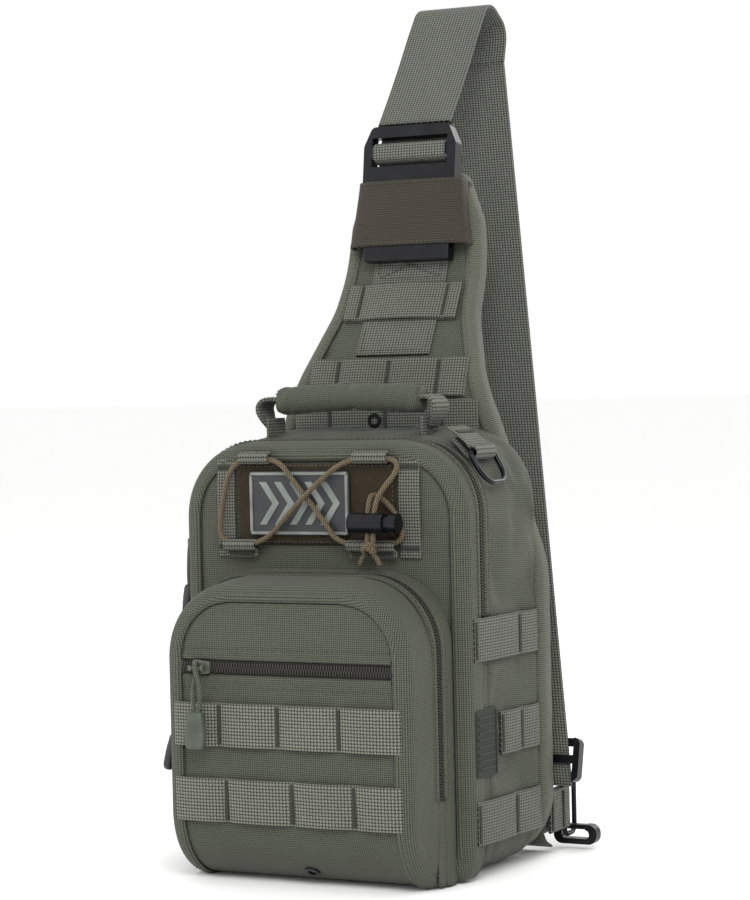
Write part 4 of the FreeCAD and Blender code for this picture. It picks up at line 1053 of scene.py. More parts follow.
def tape(name, line, sides, normals, y0, y1, sink, material=None, lip=0.0):
    """A flat tape beside a zip's line, from y0 to y1 off it, sunk below the surface."""
    across = np.linspace(y0, y1, 5)
    grid = np.array([line + sides * a - normals * (sink - lip * math.sin(math.pi * (a - y0) / (y1 - y0)))
                     for a in across])
    return cloth_sheet(name, grid, material or zip_tape, 0.7)


def dress_zip(name, form, zone, end_z, flap, rear_node, front_node):
    """Both rows of a zip, its tapes, and the stitched fabric edges that flank it."""
    middle = sum(zone) / 2
    line, sides, normals = zip_path(form, middle, end_z)
    rear = join(name + "_rear_row", [zip_coil("c", line, sides, normals, 1),
                                     tape("t", line, sides, normals, 0.2, 5.6, 0.9)])
    placed(rear, "root", "zip_coil", rear_node)
    front = join(name + "_front_row", [zip_coil("c", line, sides, normals, -1),
                                       tape("t", line, sides, normals, -0.2, -5.6, 0.9)])
    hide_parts(front_node)
    for side, body in ((1, "root"), (-1, flap)):
        lip = sweep(name + ("_rear_edge" if side > 0 else "_front_edge"),
                    line + sides * side * 5.3 - normals * 0.2,
                    sides, normals, [(a * 2.6, b * 1.5) for a, b in ring_profile(1.0, 10)], nylon_fabric)
        seam = stitches(name + ("_rear_seam" if side > 0 else "_front_seam"),
                        line + sides * side * 7.2 + normals * 1.25, normals)
        for piece in (lip, seam):
            if body == "root":
                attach(piece, "root")
            else:
                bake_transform(piece)
    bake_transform(front)
    print(name, "coil", round(float(run_length(line)[-1])), "mm")


dress_zip("main_zip", BODY, MAIN_ZIP, MAIN_ZIP_END, "main_flap", "main_zip_rear",
          "main_zip_front")
dress_zip("pocket_zip", POCKET, POCKET_ZIP, POCKET_ZIP_END, "pocket_flap",
          "pocket_zip_rear", "pocket_zip_front")


def make_slit_zip():
    xs = np.arange(SLIT_X[0] + 1, SLIT_X[1] - 0.5, 2.0)
    line = np.stack([xs, np.full(len(xs), POCKET_Y - 0.2), np.full(len(xs), SLIT_Z)], axis=1)
    sides = np.tile([0.0, 0.0, 1.0], (len(xs), 1))
    normals = np.tile([0.0, -1.0, 0.0], (len(xs), 1))
    parts = [zip_coil("c", line, sides, normals, s) for s in (1, -1)]
    parts.append(tape("t", line, sides, normals, -4.2, 4.2, 0.8))
    placed(join("slit_zip_rows", parts), "pocket_flap", "zip_coil", "slit_zip")
    edge = []
    for z in (131.2, 134.8, 116.6, 113.0):
        across = np.linspace(-71.0, 73.0, 60)
        proud = [pocket_proud(x, z) + 0.25 for x in across]
        edge.append(stitches("s", np.stack([across, POCKET_Y - np.array(proud), np.full(60, z)], axis=1),
                             (0, -1, 0), 3.2))
    placed(join("slit_stitches", edge), "pocket_flap", "nylon_fabric")


make_slit_zip()

# %% [markdown]
# ### Seams on the faces
# A line of lockstitches runs a finger's width inside the edge of each face.

# %% Face seams
def face_line(size, inset, y, low_z):
    ring = outline(size[0], size[1], size[2] if low_z < size[2] else 0.6, size[3], inset)
    keep = ring[ring[:, 1] > low_z]
    where = np.flatnonzero(ring[:, 1] > low_z)
    split = np.flatnonzero(np.diff(where) > 1)
    keep = keep if len(split) == 0 else np.roll(keep, -split[0] - 1, axis=0)
    return np.stack([keep[:, 0], np.full(len(keep), y), keep[:, 1]], axis=1)


def make_face_seams():
    upper = face_line(P_SIZE, SEAM_IN, POCKET_Y + 0.75, POCKET_FOLD_Z)
    seam = stitches("pocket_face_seam", upper, (0, -1, 0), 3.2)
    seam2 = stitches("pocket_edge_seam", face_line(P_SIZE, 6.6, POCKET_Y - 0.85, POCKET_FOLD_Z), (0, -1, 0),
                     3.2)
    for s in (seam, seam2):
        placed(s, "pocket_flap", "nylon_fabric")
    main = stitches("flap_face_seam", face_line(front_size(BODY), 9.6, PANEL_Y + 0.2, 188.0), (0, -1, 0), 3.2)
    placed(main, "main_flap", "nylon_fabric")
    lows = []
    for inset, level in ((SEAM_IN, 0.75), (6.6, -0.85)):
        for side in (1, -1):
            lows.append(stitches("s", [(side * (P_SIZE[0] - inset), POCKET_Y + level, z)
                                       for z in (41.0, POCKET_FOLD_Z - 1.0)],
                                 (0, -1, 0), 3.2))
    placed(join("pocket_low_seam", lows), "root", "nylon_fabric")


make_face_seams()

# %% [markdown]
# ## The wearer's panel and shoulder pad
# One long cushion: nylon in front, foam, and spacer mesh behind. It narrows above the body into the
# shoulder pad and leans back. It is built as a closed form with rounded edges, blown out a little by
# the cloth solver, and then bound all round with grosgrain tape.

# %% The line and outline of the panel
def bent_line(points, radii, step=4.0):
    """Straight runs joined by round bends, as evenly spaced points with their facing."""
    p = [np.array(q, float) for q in points]
    out = [p[0]]
    for a, b, c, r in zip(p, p[1:], p[2:], radii[1:]):
        u, w = (a - b) / np.linalg.norm(a - b), (c - b) / np.linalg.norm(c - b)
        half = math.acos(float(np.clip(u @ w, -1, 1))) / 2
        reach = r / math.tan(half)
        centre = b + (u + w) / np.linalg.norm(u + w) * r / math.sin(half)
        start, end = b + u * reach - centre, b + w * reach - centre
        for t in np.linspace(0, 1, 9):
            d = start * (1 - t) + end * t
            out.append(centre + d / np.linalg.norm(d) * r)
    out.append(p[-1])
    return resample(np.array(out), step)


PANEL_LINE = bent_line(BACK_LINE, BACK_BENDS, 2.0)
PANEL_DIR = directions(PANEL_LINE)


def on_panel(z, off=0.0):
    """(y, z) on the panel's front face at height z, moved off it towards the pocket side."""
    y = np.interp(z, PANEL_LINE[:, 1], PANEL_LINE[:, 0])
    dy = np.interp(z, PANEL_LINE[:, 1], PANEL_DIR[:, 0])
    dz = np.interp(z, PANEL_LINE[:, 1], PANEL_DIR[:, 1])
    return y - off * dz, z + off * dy


def panel_facing(z):
    dy = np.interp(z, PANEL_LINE[:, 1], PANEL_DIR[:, 0])
    dz = np.interp(z, PANEL_LINE[:, 1], PANEL_DIR[:, 1])
    return np.array([0.0, -dz, dy])


HALF = bent_line([(0.0, 0.0), (100.5, 0.0), (100.5, 176.0), (48.0, 328.0), (44.0, 382.0), (32.0, PAD_TOP),
                  (0.0, PAD_TOP)],
                 [0.0, 40.0, 80.0, 50.0, 25.0, 6.0, 0.0], 3.0)


def panel_half(z):
    side = HALF[(HALF[:, 0] > 25.0)]
    keep = np.argsort(side[:, 1])
    return float(np.interp(z, side[keep, 1], side[keep, 0]))


def make_cushion():
    heights = np.concatenate([[1.4, 2.6, 5, 8, 12, 17, 23, 30], np.arange(38, 402, 6.0),
                              [404.0, 407.5, 409.6, 410.6]])
    cols = np.linspace(-1, 1, 33)
    cols = np.sign(cols) * (1 - (1 - abs(cols)) ** 1.25)
    front, back = [], []
    for z in heights:
        w = panel_half(z) - 1.6
        w = min(w, 62.0 + math.sqrt(max(38.4 ** 2 - (39.0 - z) ** 2, 0.0))) if z < 39 else w
        face = panel_facing(z)
        for layer, deep in ((front, 0.0), (back, BACK_T)):
            row = []
            for c in cols:
                d = min((1 - abs(c)) * w, z, PAD_TOP - z)
                tuck = 3.4 * math.exp(-d / 2.6)
                y, zz = on_panel(z, -deep)
                x = c * w
                inward = tuck if deep == 0.0 else -tuck
                row.append(np.array([x, y, zz]) - face * inward)
            layer.append(row)
    front, back = np.array(front), np.array(back)
    rows, n = front.shape[:2]
    points = np.vstack([front.reshape(-1, 3), back.reshape(-1, 3)])
    faces = grid_faces(rows, n) + [tuple(rows * n + k for k in f) for f in grid_faces(rows, n, flip=True)]
    edge = [r * n for r in range(rows)] + [(rows - 1) * n + c for c in range(1, n)]
    edge += [r * n + n - 1 for r in range(rows - 2, -1, -1)] + list(range(n - 2, 0, -1))
    faces += [(b, a, a + rows * n, b + rows * n) for a, b in zip(edge, edge[1:] + edge[:1])]
    uvs = np.vstack([front.reshape(-1, 3)[:, [0, 2]], back.reshape(-1, 3)[:, [0, 2]]])
    piece = mesh_piece("wearer_cushion", points, faces, uvs, nylon_fabric)
    piece.data.materials.append(air_mesh)
    for face in piece.data.polygons:
        face.material_index = 1 if min(face.vertices) >= rows * n else 0
    p = points
    on_front = np.arange(len(p)) < rows * n
    rim = np.zeros(len(p), bool)
    rim[edge] = True
    rim[[e + rows * n for e in edge]] = True
    held = rim | (on_front & (p[:, 2] < 268.0)) | (on_front & (abs(p[:, 0]) < 42) & (p[:, 2] < PAD_TOP))
    held |= ~on_front & ((abs(p[:, 0]) < 3) | (abs(abs(p[:, 0]) - 52) < 3)) & (p[:, 2] < 250) & (p[:, 2] > 25)
    swell(piece, held, 4.0, 3.5, 0.0)
    placed(softened(piece), "root", "air_mesh", "back_cover", "back_foam", "back_mesh")


make_cushion()

# %% Binding tape
def make_binding():
    right = HALF[HALF[:, 0] > 0.01]
    ring = np.vstack([HALF[0], right, HALF[-1], right[::-1] * (-1, 1)])
    ring = resample(np.vstack([ring, ring[:1]]), 3.0)[:-1]
    flat = directions(np.vstack([ring[-1:], ring, ring[:1]]))[1:-1]
    sides, path, facing = [], [], []
    for (x, z), (dx, dz) in zip(ring, flat):
        y, zz = on_panel(z, -BACK_T / 2)
        face = panel_facing(z)
        up = np.array([0.0, face[2], -face[1]])
        out = np.array([dz, 0.0, 0.0]) - up * dx
        path.append((x, y, zz))
        sides.append(out / np.linalg.norm(out))
        facing.append(face)
    t = BACK_T / 2 + 0.5
    outer = [(-9.0, t), (-7.0, t + 0.75), (-4.0, t + 0.65), (-2.0, t + 0.2), (-0.6, t - 1.2), (0.0, t - 3.0),
             (0.0, 3.0 - t), (-0.6, 1.2 - t), (-2.0, -t - 0.2), (-4.0, -t - 0.65), (-7.0, -t - 0.75),
             (-9.0, -t)]
    inner = [(-9.0, -t + 0.5), (-3.0, -t + 0.4), (-1.2, 3.6 - t), (-1.2, t - 3.6), (-3.0, t - 0.4),
             (-9.0, t - 0.5)]
    tape_piece = sweep("edge_binding_tape", path, sides, facing, outer + inner, binding_tape, closed=True)
    placed(tape_piece, "root", "binding_tape", "back_binding")
    path, sides, facing = (np.array(v) for v in (path, sides, facing))
    for name, sign in (("front", 1), ("back", -1)):
        line = path + sides * -6.6 + facing * sign * (t + 0.7)
        placed(stitches("binding_stitches_" + name, line, facing * sign, 3.0), "root", "binding_tape")
    print("binding", round(float(run_length(path)[-1])), "mm")


make_binding()

# %% [markdown]
# ### Webbing on the shoulder pad
# Three rows cross the pad and one wide strap runs up its middle to the buckle. The wide strap is sewn
# with a boxed cross, which spreads the load.

# %% Pad webbing
PAD_ROWS = ((331.5, 3.2, (-29.0, 29.0)), (286.0, 1.6, (-34.0, 0.0, 34.0)), (260.5, 1.6, (-38.0, 0.0, 38.0)))


def make_pad_webbing():
    parts, sewn = [], []
    for z, thick, tacks in PAD_ROWS:
        half = panel_half(z) - 9.5
        face = panel_facing(z)
        y, zz = on_panel(z, 0.15)
        ends = [np.array([s * half, y, zz]) for s in (-1, 1)]
        shares = [(x + half) / (2 * half) for x in tacks]
        lift = {331.5: 2.2, 286.0: 1.8, 260.5: 0.5}[z]
        parts.append(strap("w", bulged(ends[0], ends[1], face, shares, lift, thick - WEB_T), face, WEB, WEB_T,
                           dark_webbing))
        if thick > WEB_T:
            parts.append(strap("w", bulged(ends[0], ends[1], face, [0.5], 0.0), face, WEB, WEB_T,
                               dark_webbing))
        up = np.array([0.0, face[2], -face[1]])
        sewn += [tack("t", np.array([x, y, zz]) + face * (thick + 0.1), up, face, 2.2, WEB - 3.0)
                 for x in tacks]
    placed(join("pad_webbing_rows", parts), "root", "nylon_webbing", "pad_webbing")
    heights = np.arange(299.5, 400.0, 2.5)
    line = np.array([(0.0, *on_panel(z, 0.2)) for z in heights])
    facing = np.array([panel_facing(z) for z in heights])
    placed(strap("pad_centre_webbing", line, facing, STRAP_W, WEB_T, strap_webbing), "root", "nylon_webbing",
           "pad_webbing")
    def on(x, z):
        y, zz = on_panel(z, 0.2 + WEB_T + 0.25)
        return (x, y, zz)
    box = [[on(-21, 347), on(21, 347)], [on(21, 347), on(21, 363)], [on(21, 363), on(-21, 363)],
           [on(-21, 363), on(-21, 347)], [on(-21, 347), on(21, 363)], [on(21, 347), on(-21, 363)],
           [on(-22, 301), on(-22, 317)], [on(22, 301), on(22, 317)], [on(-22, 302.5), on(22, 302.5)]]
    rows = [stitches("s", resample(b, 3.0), panel_facing(340.0), 2.8) for b in box]
    placed(join("pad_box_stitches", rows), "root", "nylon_webbing")
    placed(join("pad_row_tacks", sewn), "root", "nylon_webbing")


make_pad_webbing()

# %% [markdown]
# ### Elastic keeper
# A wide band of ribbed elastic goes round the pad and hides the buckle's catch. It is a closed loop
# that is flat where it is stretched over the pad and puckers a little at its edges.

# %% Elastic keeper
def make_keeper():
    low, high = 366.0, 406.0
    low_half, high_half = 41.0, 35.5
    front_off, back_off = 12.6, BACK_T + 1.0
    loops = []
    for z in np.linspace(low, high, 17):
        t = (z - low) / (high - low)
        half = low_half + (high_half - low_half) * t - 0.5 * math.sin(math.pi * t)
        ring = []
        for k in range(48):
            a = 2 * math.pi * k / 48
            c, s = math.cos(a), math.sin(a)
            x = half * math.copysign(abs(c) ** 0.35, c)
            span = front_off if s > 0 else back_off
            off = span * math.copysign(abs(s) ** 0.4, s)
            ripple = 0.25 * math.sin(2.1 * x + 5 * t) * math.exp(-min(t, 1 - t) * 7)
            y, zz = on_panel(z, off + ripple)
            ring.append((x, y, zz))
        loops.append(ring + ring[:1])
    piece = cloth_sheet("elastic_keeper", np.array(loops), elastic_tape, 1.3, flip=True)
    placed(softened(piece), "root", "elastic", "elastic_sleeve")
    rows = []
    for z in (367.6, 404.4):
        half = low_half - (low_half - high_half) * (z - low) / (high - low)
        line = [(x, *on_panel(z, 12.75)) for x in np.linspace(-half * 0.86, half * 0.86, 20)]
        rows.append(stitches("s", line, panel_facing(z), 3.0))
    placed(join("keeper_stitches", rows), "root", "elastic")


make_keeper()

# %% [markdown]
# ## Shoulder strap
# Fifty-millimetre webbing leaves the buckle, folds over at the top and runs down behind to the lower
# corner.

# %% Strap runs
def pad_point(x, off, up):
    """A point in the buckle's own frame: across, off the pad's face, and up along the pad."""
    c, s = math.cos(PAD_LEAN), math.sin(PAD_LEAN)
    return np.array([x, PAD_ORIGIN[1] - off * c + up * s, PAD_ORIGIN[2] + off * s + up * c])


def make_strap():
    start = np.array([0.0, 86.6, 442.5])
    top = np.array([0.0, 147.0, 524.0])
    turn = np.array([0.0, 173.0, 508.0])
    low = np.array([84.0, 58.5, 42.0])
    split = start + (top - start) * 0.72
    face = np.array([0.0, -(top - start)[2], (top - start)[1]])
    face = face / np.linalg.norm(face)
    run_steps = 26
    run = np.linspace(start, split, run_steps)
    sag = np.sin(np.linspace(0, math.pi, run_steps))[:, None] * face * -0.8
    over = bent_line([split[1:], top[1:], turn[1:], (165.0, 479.0)], [0, 12.0, 12.0, 0], 2.5)
    over = over[over[:, 1] > 486.0]
    way = directions(over)
    fold = np.array([(0.0, y, z) for y, z in over])
    fold_face = np.array([(0.0, -dz, dy) for dy, dz in way])
    level = np.array([1.0, 0.0, 0.0])
    mid = STRAP_T / 2
    line = np.vstack([run + sag - face * mid, (fold - fold_face * mid)[1:]])
    faces = np.vstack([np.tile(face, (run_steps, 1)), fold_face[1:]])
    profile = web_profile(STRAP_W, STRAP_T)
    front = sweep("strap_front_run", line, np.tile(level, (len(line), 1)), faces, profile, strap_webbing)
    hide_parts("strap_front_leg")
    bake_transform(front)
    steps = 70
    leg = np.linspace(fold[-1], low, steps)
    bow = np.sin(np.linspace(0, math.pi, steps))[:, None] * np.array([0.0, 0.3, 0.0])
    way = directions(leg + bow)
    leg_face = unit(np.cross(np.tile(level, (steps, 1)), way))
    leg_face *= np.sign(leg_face[0] @ fold_face[-1])
    ease = np.clip(np.arange(steps) / 8.0, 0, 1)[:, None]
    leg_face = unit(fold_face[-1] * (1 - ease) + leg_face * ease)
    back = sweep("strap_back_run", leg + bow - leg_face * mid, np.tile(level, (steps, 1)), leg_face, profile,
                 strap_webbing, starts_at=float(run_length(line)[-1]))
    placed(back, "root", "nylon_webbing", "shoulder_strap")
    tail = bent_line([(0, -0.5), (0, -22.0), (9.0, -36.0), (17.5, -39.6)], [0, 12.0, 12.0, 0], 1.5)
    tail_line = np.array([(75.0, 58.5 + y, 42.0 + z) for y, z in tail])
    tail_face = np.array([(0.0, -dz, dy) for dy, dz in directions(tail)])
    sides = np.tile(level, (len(tail_line), 1))
    placed(sweep("strap_tail_webbing", tail_line - tail_face * 0.8, sides, tail_face, web_profile(WEB, WEB_T),
                 dark_webbing), "root", "nylon_webbing", "strap_end_webbing")
    wrap = [pad_point(0, off, up) for off, up in
            ((1.2, 89.5), (1.4, 82.0), (3.0, 79.4), (8.6, 77.8), (12.2, 76.2), (12.6, 72.0), (12.2, 67.8),
             (9.0, 66.0), (4.0, 64.8), (1.6, 62.6), (1.0, 58.0), (1.0, 54.0))]
    wrap = smooth_line(wrap, 5)
    way = directions(wrap)
    facing = -unit(np.cross(way, level))
    sides = np.tile(level, (len(wrap), 1))
    placed(sweep("strap_through_buckle", wrap, sides, facing, web_profile(STRAP_W - 1.0, 1.7), strap_webbing),
           "buckle_plug", "nylon_webbing")


make_strap()

# %% [markdown]
# ## Carry handle
# A padded tube of body fabric over a length of webbing, whose ends go down to their anchors. Gripping
# has put a crease in the middle.

# %% Handle
def make_handle():
    xs = np.linspace(-48.0, 48.0, 61)
    bow = lambda x: 275.0 + 0.6 - 2.2 * (x / 48.0) ** 2
    points, uvs = [], []
    count = 28
    for x in xs:
        end = min(1.0, (48.6 - abs(x)) / 4.0)
        radius = (8.3 * (0.72 + 0.28 * math.sqrt(max(end, 0.0)))
                  * (1 - 0.10 * math.exp(-((x - 2.0) / 3.0) ** 2)))
        for k in range(count):
            a = 2 * math.pi * k / count
            fold = 0.35 * math.sin(3 * a + 0.35 * x) * math.exp(-((abs(x) - 44) / 8) ** 2)
            fold += 0.5 * math.sin(2 * a + 1.0) * math.exp(-((x - 2.0) / 5.0) ** 2)
            seam = -0.7 * math.exp(-((a - 4.4) / 0.16) ** 2)
            r = radius + fold + seam + 0.2 * math.sin(0.9 * x + 2 * a)
            points.append((x, HANDLE_Y + r * 0.96 * math.cos(a), bow(x) + r * math.sin(a)))
            uvs.append((radius * a, x))
    faces = capped_faces(len(xs), count)
    grip = mesh_piece("handle_grip_cover", points, faces, uvs, nylon_fabric)
    placed(softened(grip), "handle", "nylon_fabric", "handle_grip")
    ends = []
    for side in (1, -1):
        line = smooth_line([(side * x, z) for x, z in
                            ((44.0, 274.0), (50.0, 275.6), (55.5, 274.6), (58.6, 270.6), (57.4, 264.5),
                             (53.4, 257.8))], 6)
        path = np.array([(x, HANDLE_Y, z) for x, z in line])
        way = directions(path)
        out = unit(np.cross(way, (0.0, 1.0, 0.0)) * side)
        sides = np.tile([0.0, 1.0, 0.0], (len(path), 1))
        end = sweep("e", path - out * 1.4, sides, out, web_profile(20.0, 2.4), dark_webbing)
        for vertex in end.data.vertices:        # gathered where it goes into the grip, and at its foot
            open_out = min(1.0, max(0.0, (abs(vertex.co.x) / MM - 48.0) / 8.0))
            above = min(1.0, max(0.0, (vertex.co.z / MM - 258.0) / 9.0))
            vertex.co.y = (HANDLE_Y * MM
                           + (vertex.co.y - HANDLE_Y * MM) * (0.6 + 0.4 * open_out) * (0.6 + 0.4 * above))
        ends.append(end)
        hem = [(side * 46.5, HANDLE_Y + 8.9 * math.cos(a), 273.2 + 8.0 * math.sin(a))
               for a in np.linspace(0.3, 2.9, 14)]
        ends.append(stitches("s", hem, [(0, math.cos(a), math.sin(a)) for a in np.linspace(0.3, 2.9, 14)],
                             2.8))
    placed(join("handle_end_webbing", ends), "handle", "nylon_webbing", "handle_webbing")
    anchors = []
    for side in (1, -1):
        x = side * 50.0
        line = [(x + side * 0.4, HANDLE_Y, 264.0), (x + side * 0.2, HANDLE_Y, 259.0),
                (x + side * 0.1, HANDLE_Y, 254.0),
                (x + side * 0.9, HANDLE_Y, 249.0), (x + side * 3.2, HANDLE_Y, 246.4)]
        anchors.append(strap("a", smooth_line(line, 5), (side, 0, 0), 21.0, 1.8, dark_webbing))
        cross = [[(x + side * 2.2, -14, 250.8), (x + side * 2.2, 4, 256.0)],
                 [(x + side * 2.2, 4, 250.8), (x + side * 2.2, -14, 256.0)]]
        anchors += [stitches("s", resample(c, 3.0), (side, 0, 0), 2.4) for c in cross]
    placed(join("handle_anchor_webbing", anchors), "root", "nylon_webbing", "handle_anchors")


make_handle()

# %% [markdown]
# ## D-ring tab and corner tab
# Each is a short length of webbing folded round its ring and sewn shut.

# %% Webbing tabs
def make_d_tab():
    cx, cz, r = 84.8, 243.0, 2.6
    line = [(cx + r * math.cos(a), cz + r * math.sin(a)) for a in np.linspace(-2.5, 2.3, 14)]
    top = [(80.2, 248.0), (76.4, 251.4), (72.4, 254.3), (68.6, 256.6)]
    low = [(73.0, 251.5), (77.5, 246.6), (81.0, 242.4)]
    path = smooth_line(low + line + top, 3)
    points = np.array([(x, D_RING_Y, z) for x, z in path])
    out = -unit(np.cross(directions(points), (0.0, 1.0, 0.0)))
    out *= np.sign((points[len(points) // 2] - (cx, D_RING_Y, cz)) @ out[len(points) // 2])
    sides = np.tile([0.0, 1.0, 0.0], (len(points), 1))
    tab = sweep("d_ring_tab_webbing", points, sides, out, web_profile(WEB, 1.7), dark_webbing)
    bars = [tack("t", (74.8, D_RING_Y, 254.6), (0, 1, 0), (0.62, 0, 0.78), 2.2, WEB - 3.0)]
    placed(join("d_ring_tab_webbing", [tab] + bars), "root", "nylon_webbing", "d_ring_tab")


make_d_tab()


def make_corner_tab():
    cx, cy, r = 93.0, 82.0, 2.6
    near, far = 54.0, 80.0
    right = [(cx + r, y) for y in np.linspace(near, far, 9)]
    turn = [(cx + r * math.cos(a), cy + r * math.sin(a)) for a in np.linspace(0, math.pi, 11)]
    left = [(cx - r + 1.2 * (1 - (y - near) / (far - near)), y) for y in np.linspace(far, near, 9)]
    path = np.array([(x, y, CORNER_TAB_Z) for x, y in right + turn + left])
    out = unit(np.cross(directions(path), (0.0, 0.0, 1.0)))
    sides = np.tile([0.0, 0.0, 1.0], (len(path), 1))
    tab = sweep("c", path - out * 0.8, sides, out, web_profile(WEB, 1.7), dark_webbing)
    bars = [tack("t", (cx + r + 1.1, 73.0, CORNER_TAB_Z), (0, 0, 1), (1, 0, 0), 2.4, WEB - 3.0),
            tack("t", (cx + r + 1.1, 57.0, CORNER_TAB_Z), (0, 0, 1), (1, 0, 0), 2.4, WEB - 3.0)]
    placed(join("corner_tab_webbing", [tab] + bars), "root", "nylon_webbing", "corner_tab")


make_corner_tab()

# %% [markdown]
# ## Loop field, patch and laced cord
# The flap carries a field of loop pile for patches, with a rubber patch on it. The patch has a raised
# border and a row of five plain chevrons. Two lash straps stand at its sides, and an elastic
# cord is laced across it through four small webbing loops and ends in a cord lock and a knot.

# %% Loop field and lash straps
def make_loop_field():
    x0, x1, z0, z1 = LOOP_FIELD
    xs, zs = np.linspace(x0, x1, 64), np.linspace(z0, z1, 30)
    face = LOOP_FACE
    grid = []
    for z in zs:
        row = []
        for x in xs:
            d = min(x - x0, x1 - x, z - z0, z1 - z)
            pile = (0.30 * float(wrinkle((x, 0, z), 1.3, 1.0, 4.0))
                    + 0.2 * float(wrinkle((x, 0, z), 5, 1.0, 1.0)))
            row.append((x, face - pile + 1.4 * math.exp(-d / 0.9), z))
        grid.append(row)
    field = cloth_sheet("loop_field", np.array(grid), loop_pile, 2.0)
    placed(field, "main_flap", "loop_fabric", "loop_panel")
    frame_line = [(x0 + 1.8, z0 + 1.8), (x1 - 1.8, z0 + 1.8), (x1 - 1.8, z1 - 1.8), (x0 + 1.8, z1 - 1.8),
                  (x0 + 1.8, z0 + 1.8)]
    sewn = []
    for a, b in zip(frame_line, frame_line[1:]):
        line = resample([(a[0], face - 0.35, a[1]), (b[0], face - 0.35, b[1])], 3.0)
        sewn.append(stitches("s", line, (0, -1, 0), 2.8))
    placed(join("loop_field_stitches", sewn), "main_flap", "loop_fabric")
    straps = []
    for a, b in ((-69.0, -57.0), (50.5, 64.0)):
        path = bulged(((a + b) / 2, PANEL_Y, 183.8), ((a + b) / 2, PANEL_Y, 241.6), (0, -1, 0), (0.10, 0.9),
                      1.3)
        straps.append(strap("w", path, (0, -1, 0), b - a, WEB_T, dark_webbing))
        straps += [tack("t", ((a + b) / 2, PANEL_Y - WEB_T - 0.15, z), (1, 0, 0), (0, -1, 0), 2.2,
                        b - a - 1.5)
                   for z in (189.5, 236.0)]
    placed(join("lash_webbing", straps), "main_flap", "nylon_webbing", "lash_straps")


make_loop_field()


# %% Rubber patch
def bar_shape(name, a, b, width, thick, material, place):
    """A raised bar from a to b on a flat face, with soft edges."""
    a, b = np.array(a, float), np.array(b, float)
    u = (b - a) / np.linalg.norm(b - a)
    n = np.array([-u[1], u[0]])
    loops = []
    for inset, level in ((0.0, 0.0), (0.0, 0.6), (0.25, 1.0)):
        w = width / 2 - inset
        corners = [a + u * inset - n * w, b - u * inset - n * w, b - u * inset + n * w, a + u * inset + n * w]
        loops.append([(c[0], c[1], level * thick) for c in corners])
    flat = np.array([p for ring in loops for p in ring])
    faces = grid_faces(3, 4, wrap=True) + [(3, 2, 1, 0), (8, 9, 10, 11)]
    return mesh_piece(name, np.array([place(*p) for p in flat]), faces, flat[:, :2], material, smooth=False)


def chevron(x, z, reach, high, wide, thick, place):
    """One raised arrow-shaped bar, point to the right, as a single moulding."""
    loops = []
    for inset, level in ((0.0, 0.0), (0.0, 0.6), (0.3, 1.0)):
        i = inset
        loops.append([(x + i, z + high - i, level * thick), (x + wide - i, z + high - i, level * thick),
                      (x + wide + reach - i, z, level * thick), (x + wide - i, z - high + i, level * thick),
                      (x + i, z - high + i, level * thick), (x + reach + i, z, level * thick)])
    flat = np.array([p for ring in loops for p in ring])
    faces = grid_faces(3, 6, wrap=True) + [(0, 1, 2, 5), (5, 2, 3, 4), (17, 14, 13, 12), (16, 15, 14, 17)]
    points = np.array([place(*p) for p in flat])
    return closed_form(mesh_piece("c", points, faces, flat[:, :2], patch_pale, smooth=False))


def make_patch():
    x0, x1, z0, z1 = -46.0, 20.0, 196.5, 234.0
    face = LOOP_FACE

    def place(x, z, lift):
        return (x, face - lift, z)
    base = plate("p", x0, x1, z0, z1, 2.6, 2.1, patch_dark, place)
    rims = [bar_shape("r", a, b, 2.0, 2.8, patch_pale, place) for a, b in
            (((x0 + 1.2, z0 + 1.6), (x1 - 1.2, z0 + 1.6)), ((x0 + 1.2, z1 - 1.6), (x1 - 1.2, z1 - 1.6)),
             ((x0 + 1.6, z0 + 2.4), (x0 + 1.6, z1 - 2.4)), ((x1 - 1.6, z0 + 2.4), (x1 - 1.6, z1 - 2.4)))]
    mid = (z0 + z1) / 2
    bars = [chevron(x, mid, 8.6, 12.6, 4.9, 2.75, place) for x in np.linspace(x0 + 7.0, x1 - 19.0, 5)]
    placed(join("rubber_patch", [base] + rims + bars), "main_flap", "patch_rubber", "patch")


make_patch()


# %% Cord loops
def make_cord_loops():
    tunnel = LOOP_FACE - CORD_R - CORD_ROOM - WEB_T
    parts = []
    for x0, x1, z, side in ((-51.0, -31.0, 241.5, 1), (24.0, 46.0, 241.5, 1), (-62.0, -41.0, 191.0, -1),
                            (19.0, 50.0, 191.0, -1)):
        r = 2.0
        base = LOOP_FACE - 0.9
        ring = [(tunnel + r * math.cos(a) * -1.0, z + r * math.sin(a)) for a in np.linspace(-1.9, 1.9, 13)]
        reach = z + 5.0 if side > 0 else 184.0
        tail = [(base, z + side * 3.4), (base, reach)]
        line = [(base + 1.0, z - side * 0.8)] + ring[::side] + tail
        path = smooth_line([(0.5 * (x0 + x1), y, zz) for y, zz in line], 3)
        out = unit(np.cross(directions(path), (1.0, 0.0, 0.0)))
        middle = out[len(out) // 3]
        out = out * (1.0 if middle[1] < 0 else -1.0)
        sides = np.tile([1.0, 0.0, 0.0], (len(path), 1))
        parts.append(sweep("l", path, sides, out, web_profile(x1 - x0, 1.4), dark_webbing))
        if side < 0:
            parts.append(tack("t", ((x0 + x1) / 2, base - 1.5, 186.4), (1, 0, 0), (0, -1, 0), 1.8,
                              x1 - x0 - 4.0))
    placed(join("cord_loop_webbing", parts), "main_flap", "nylon_webbing", "cord_loops")


make_cord_loops()


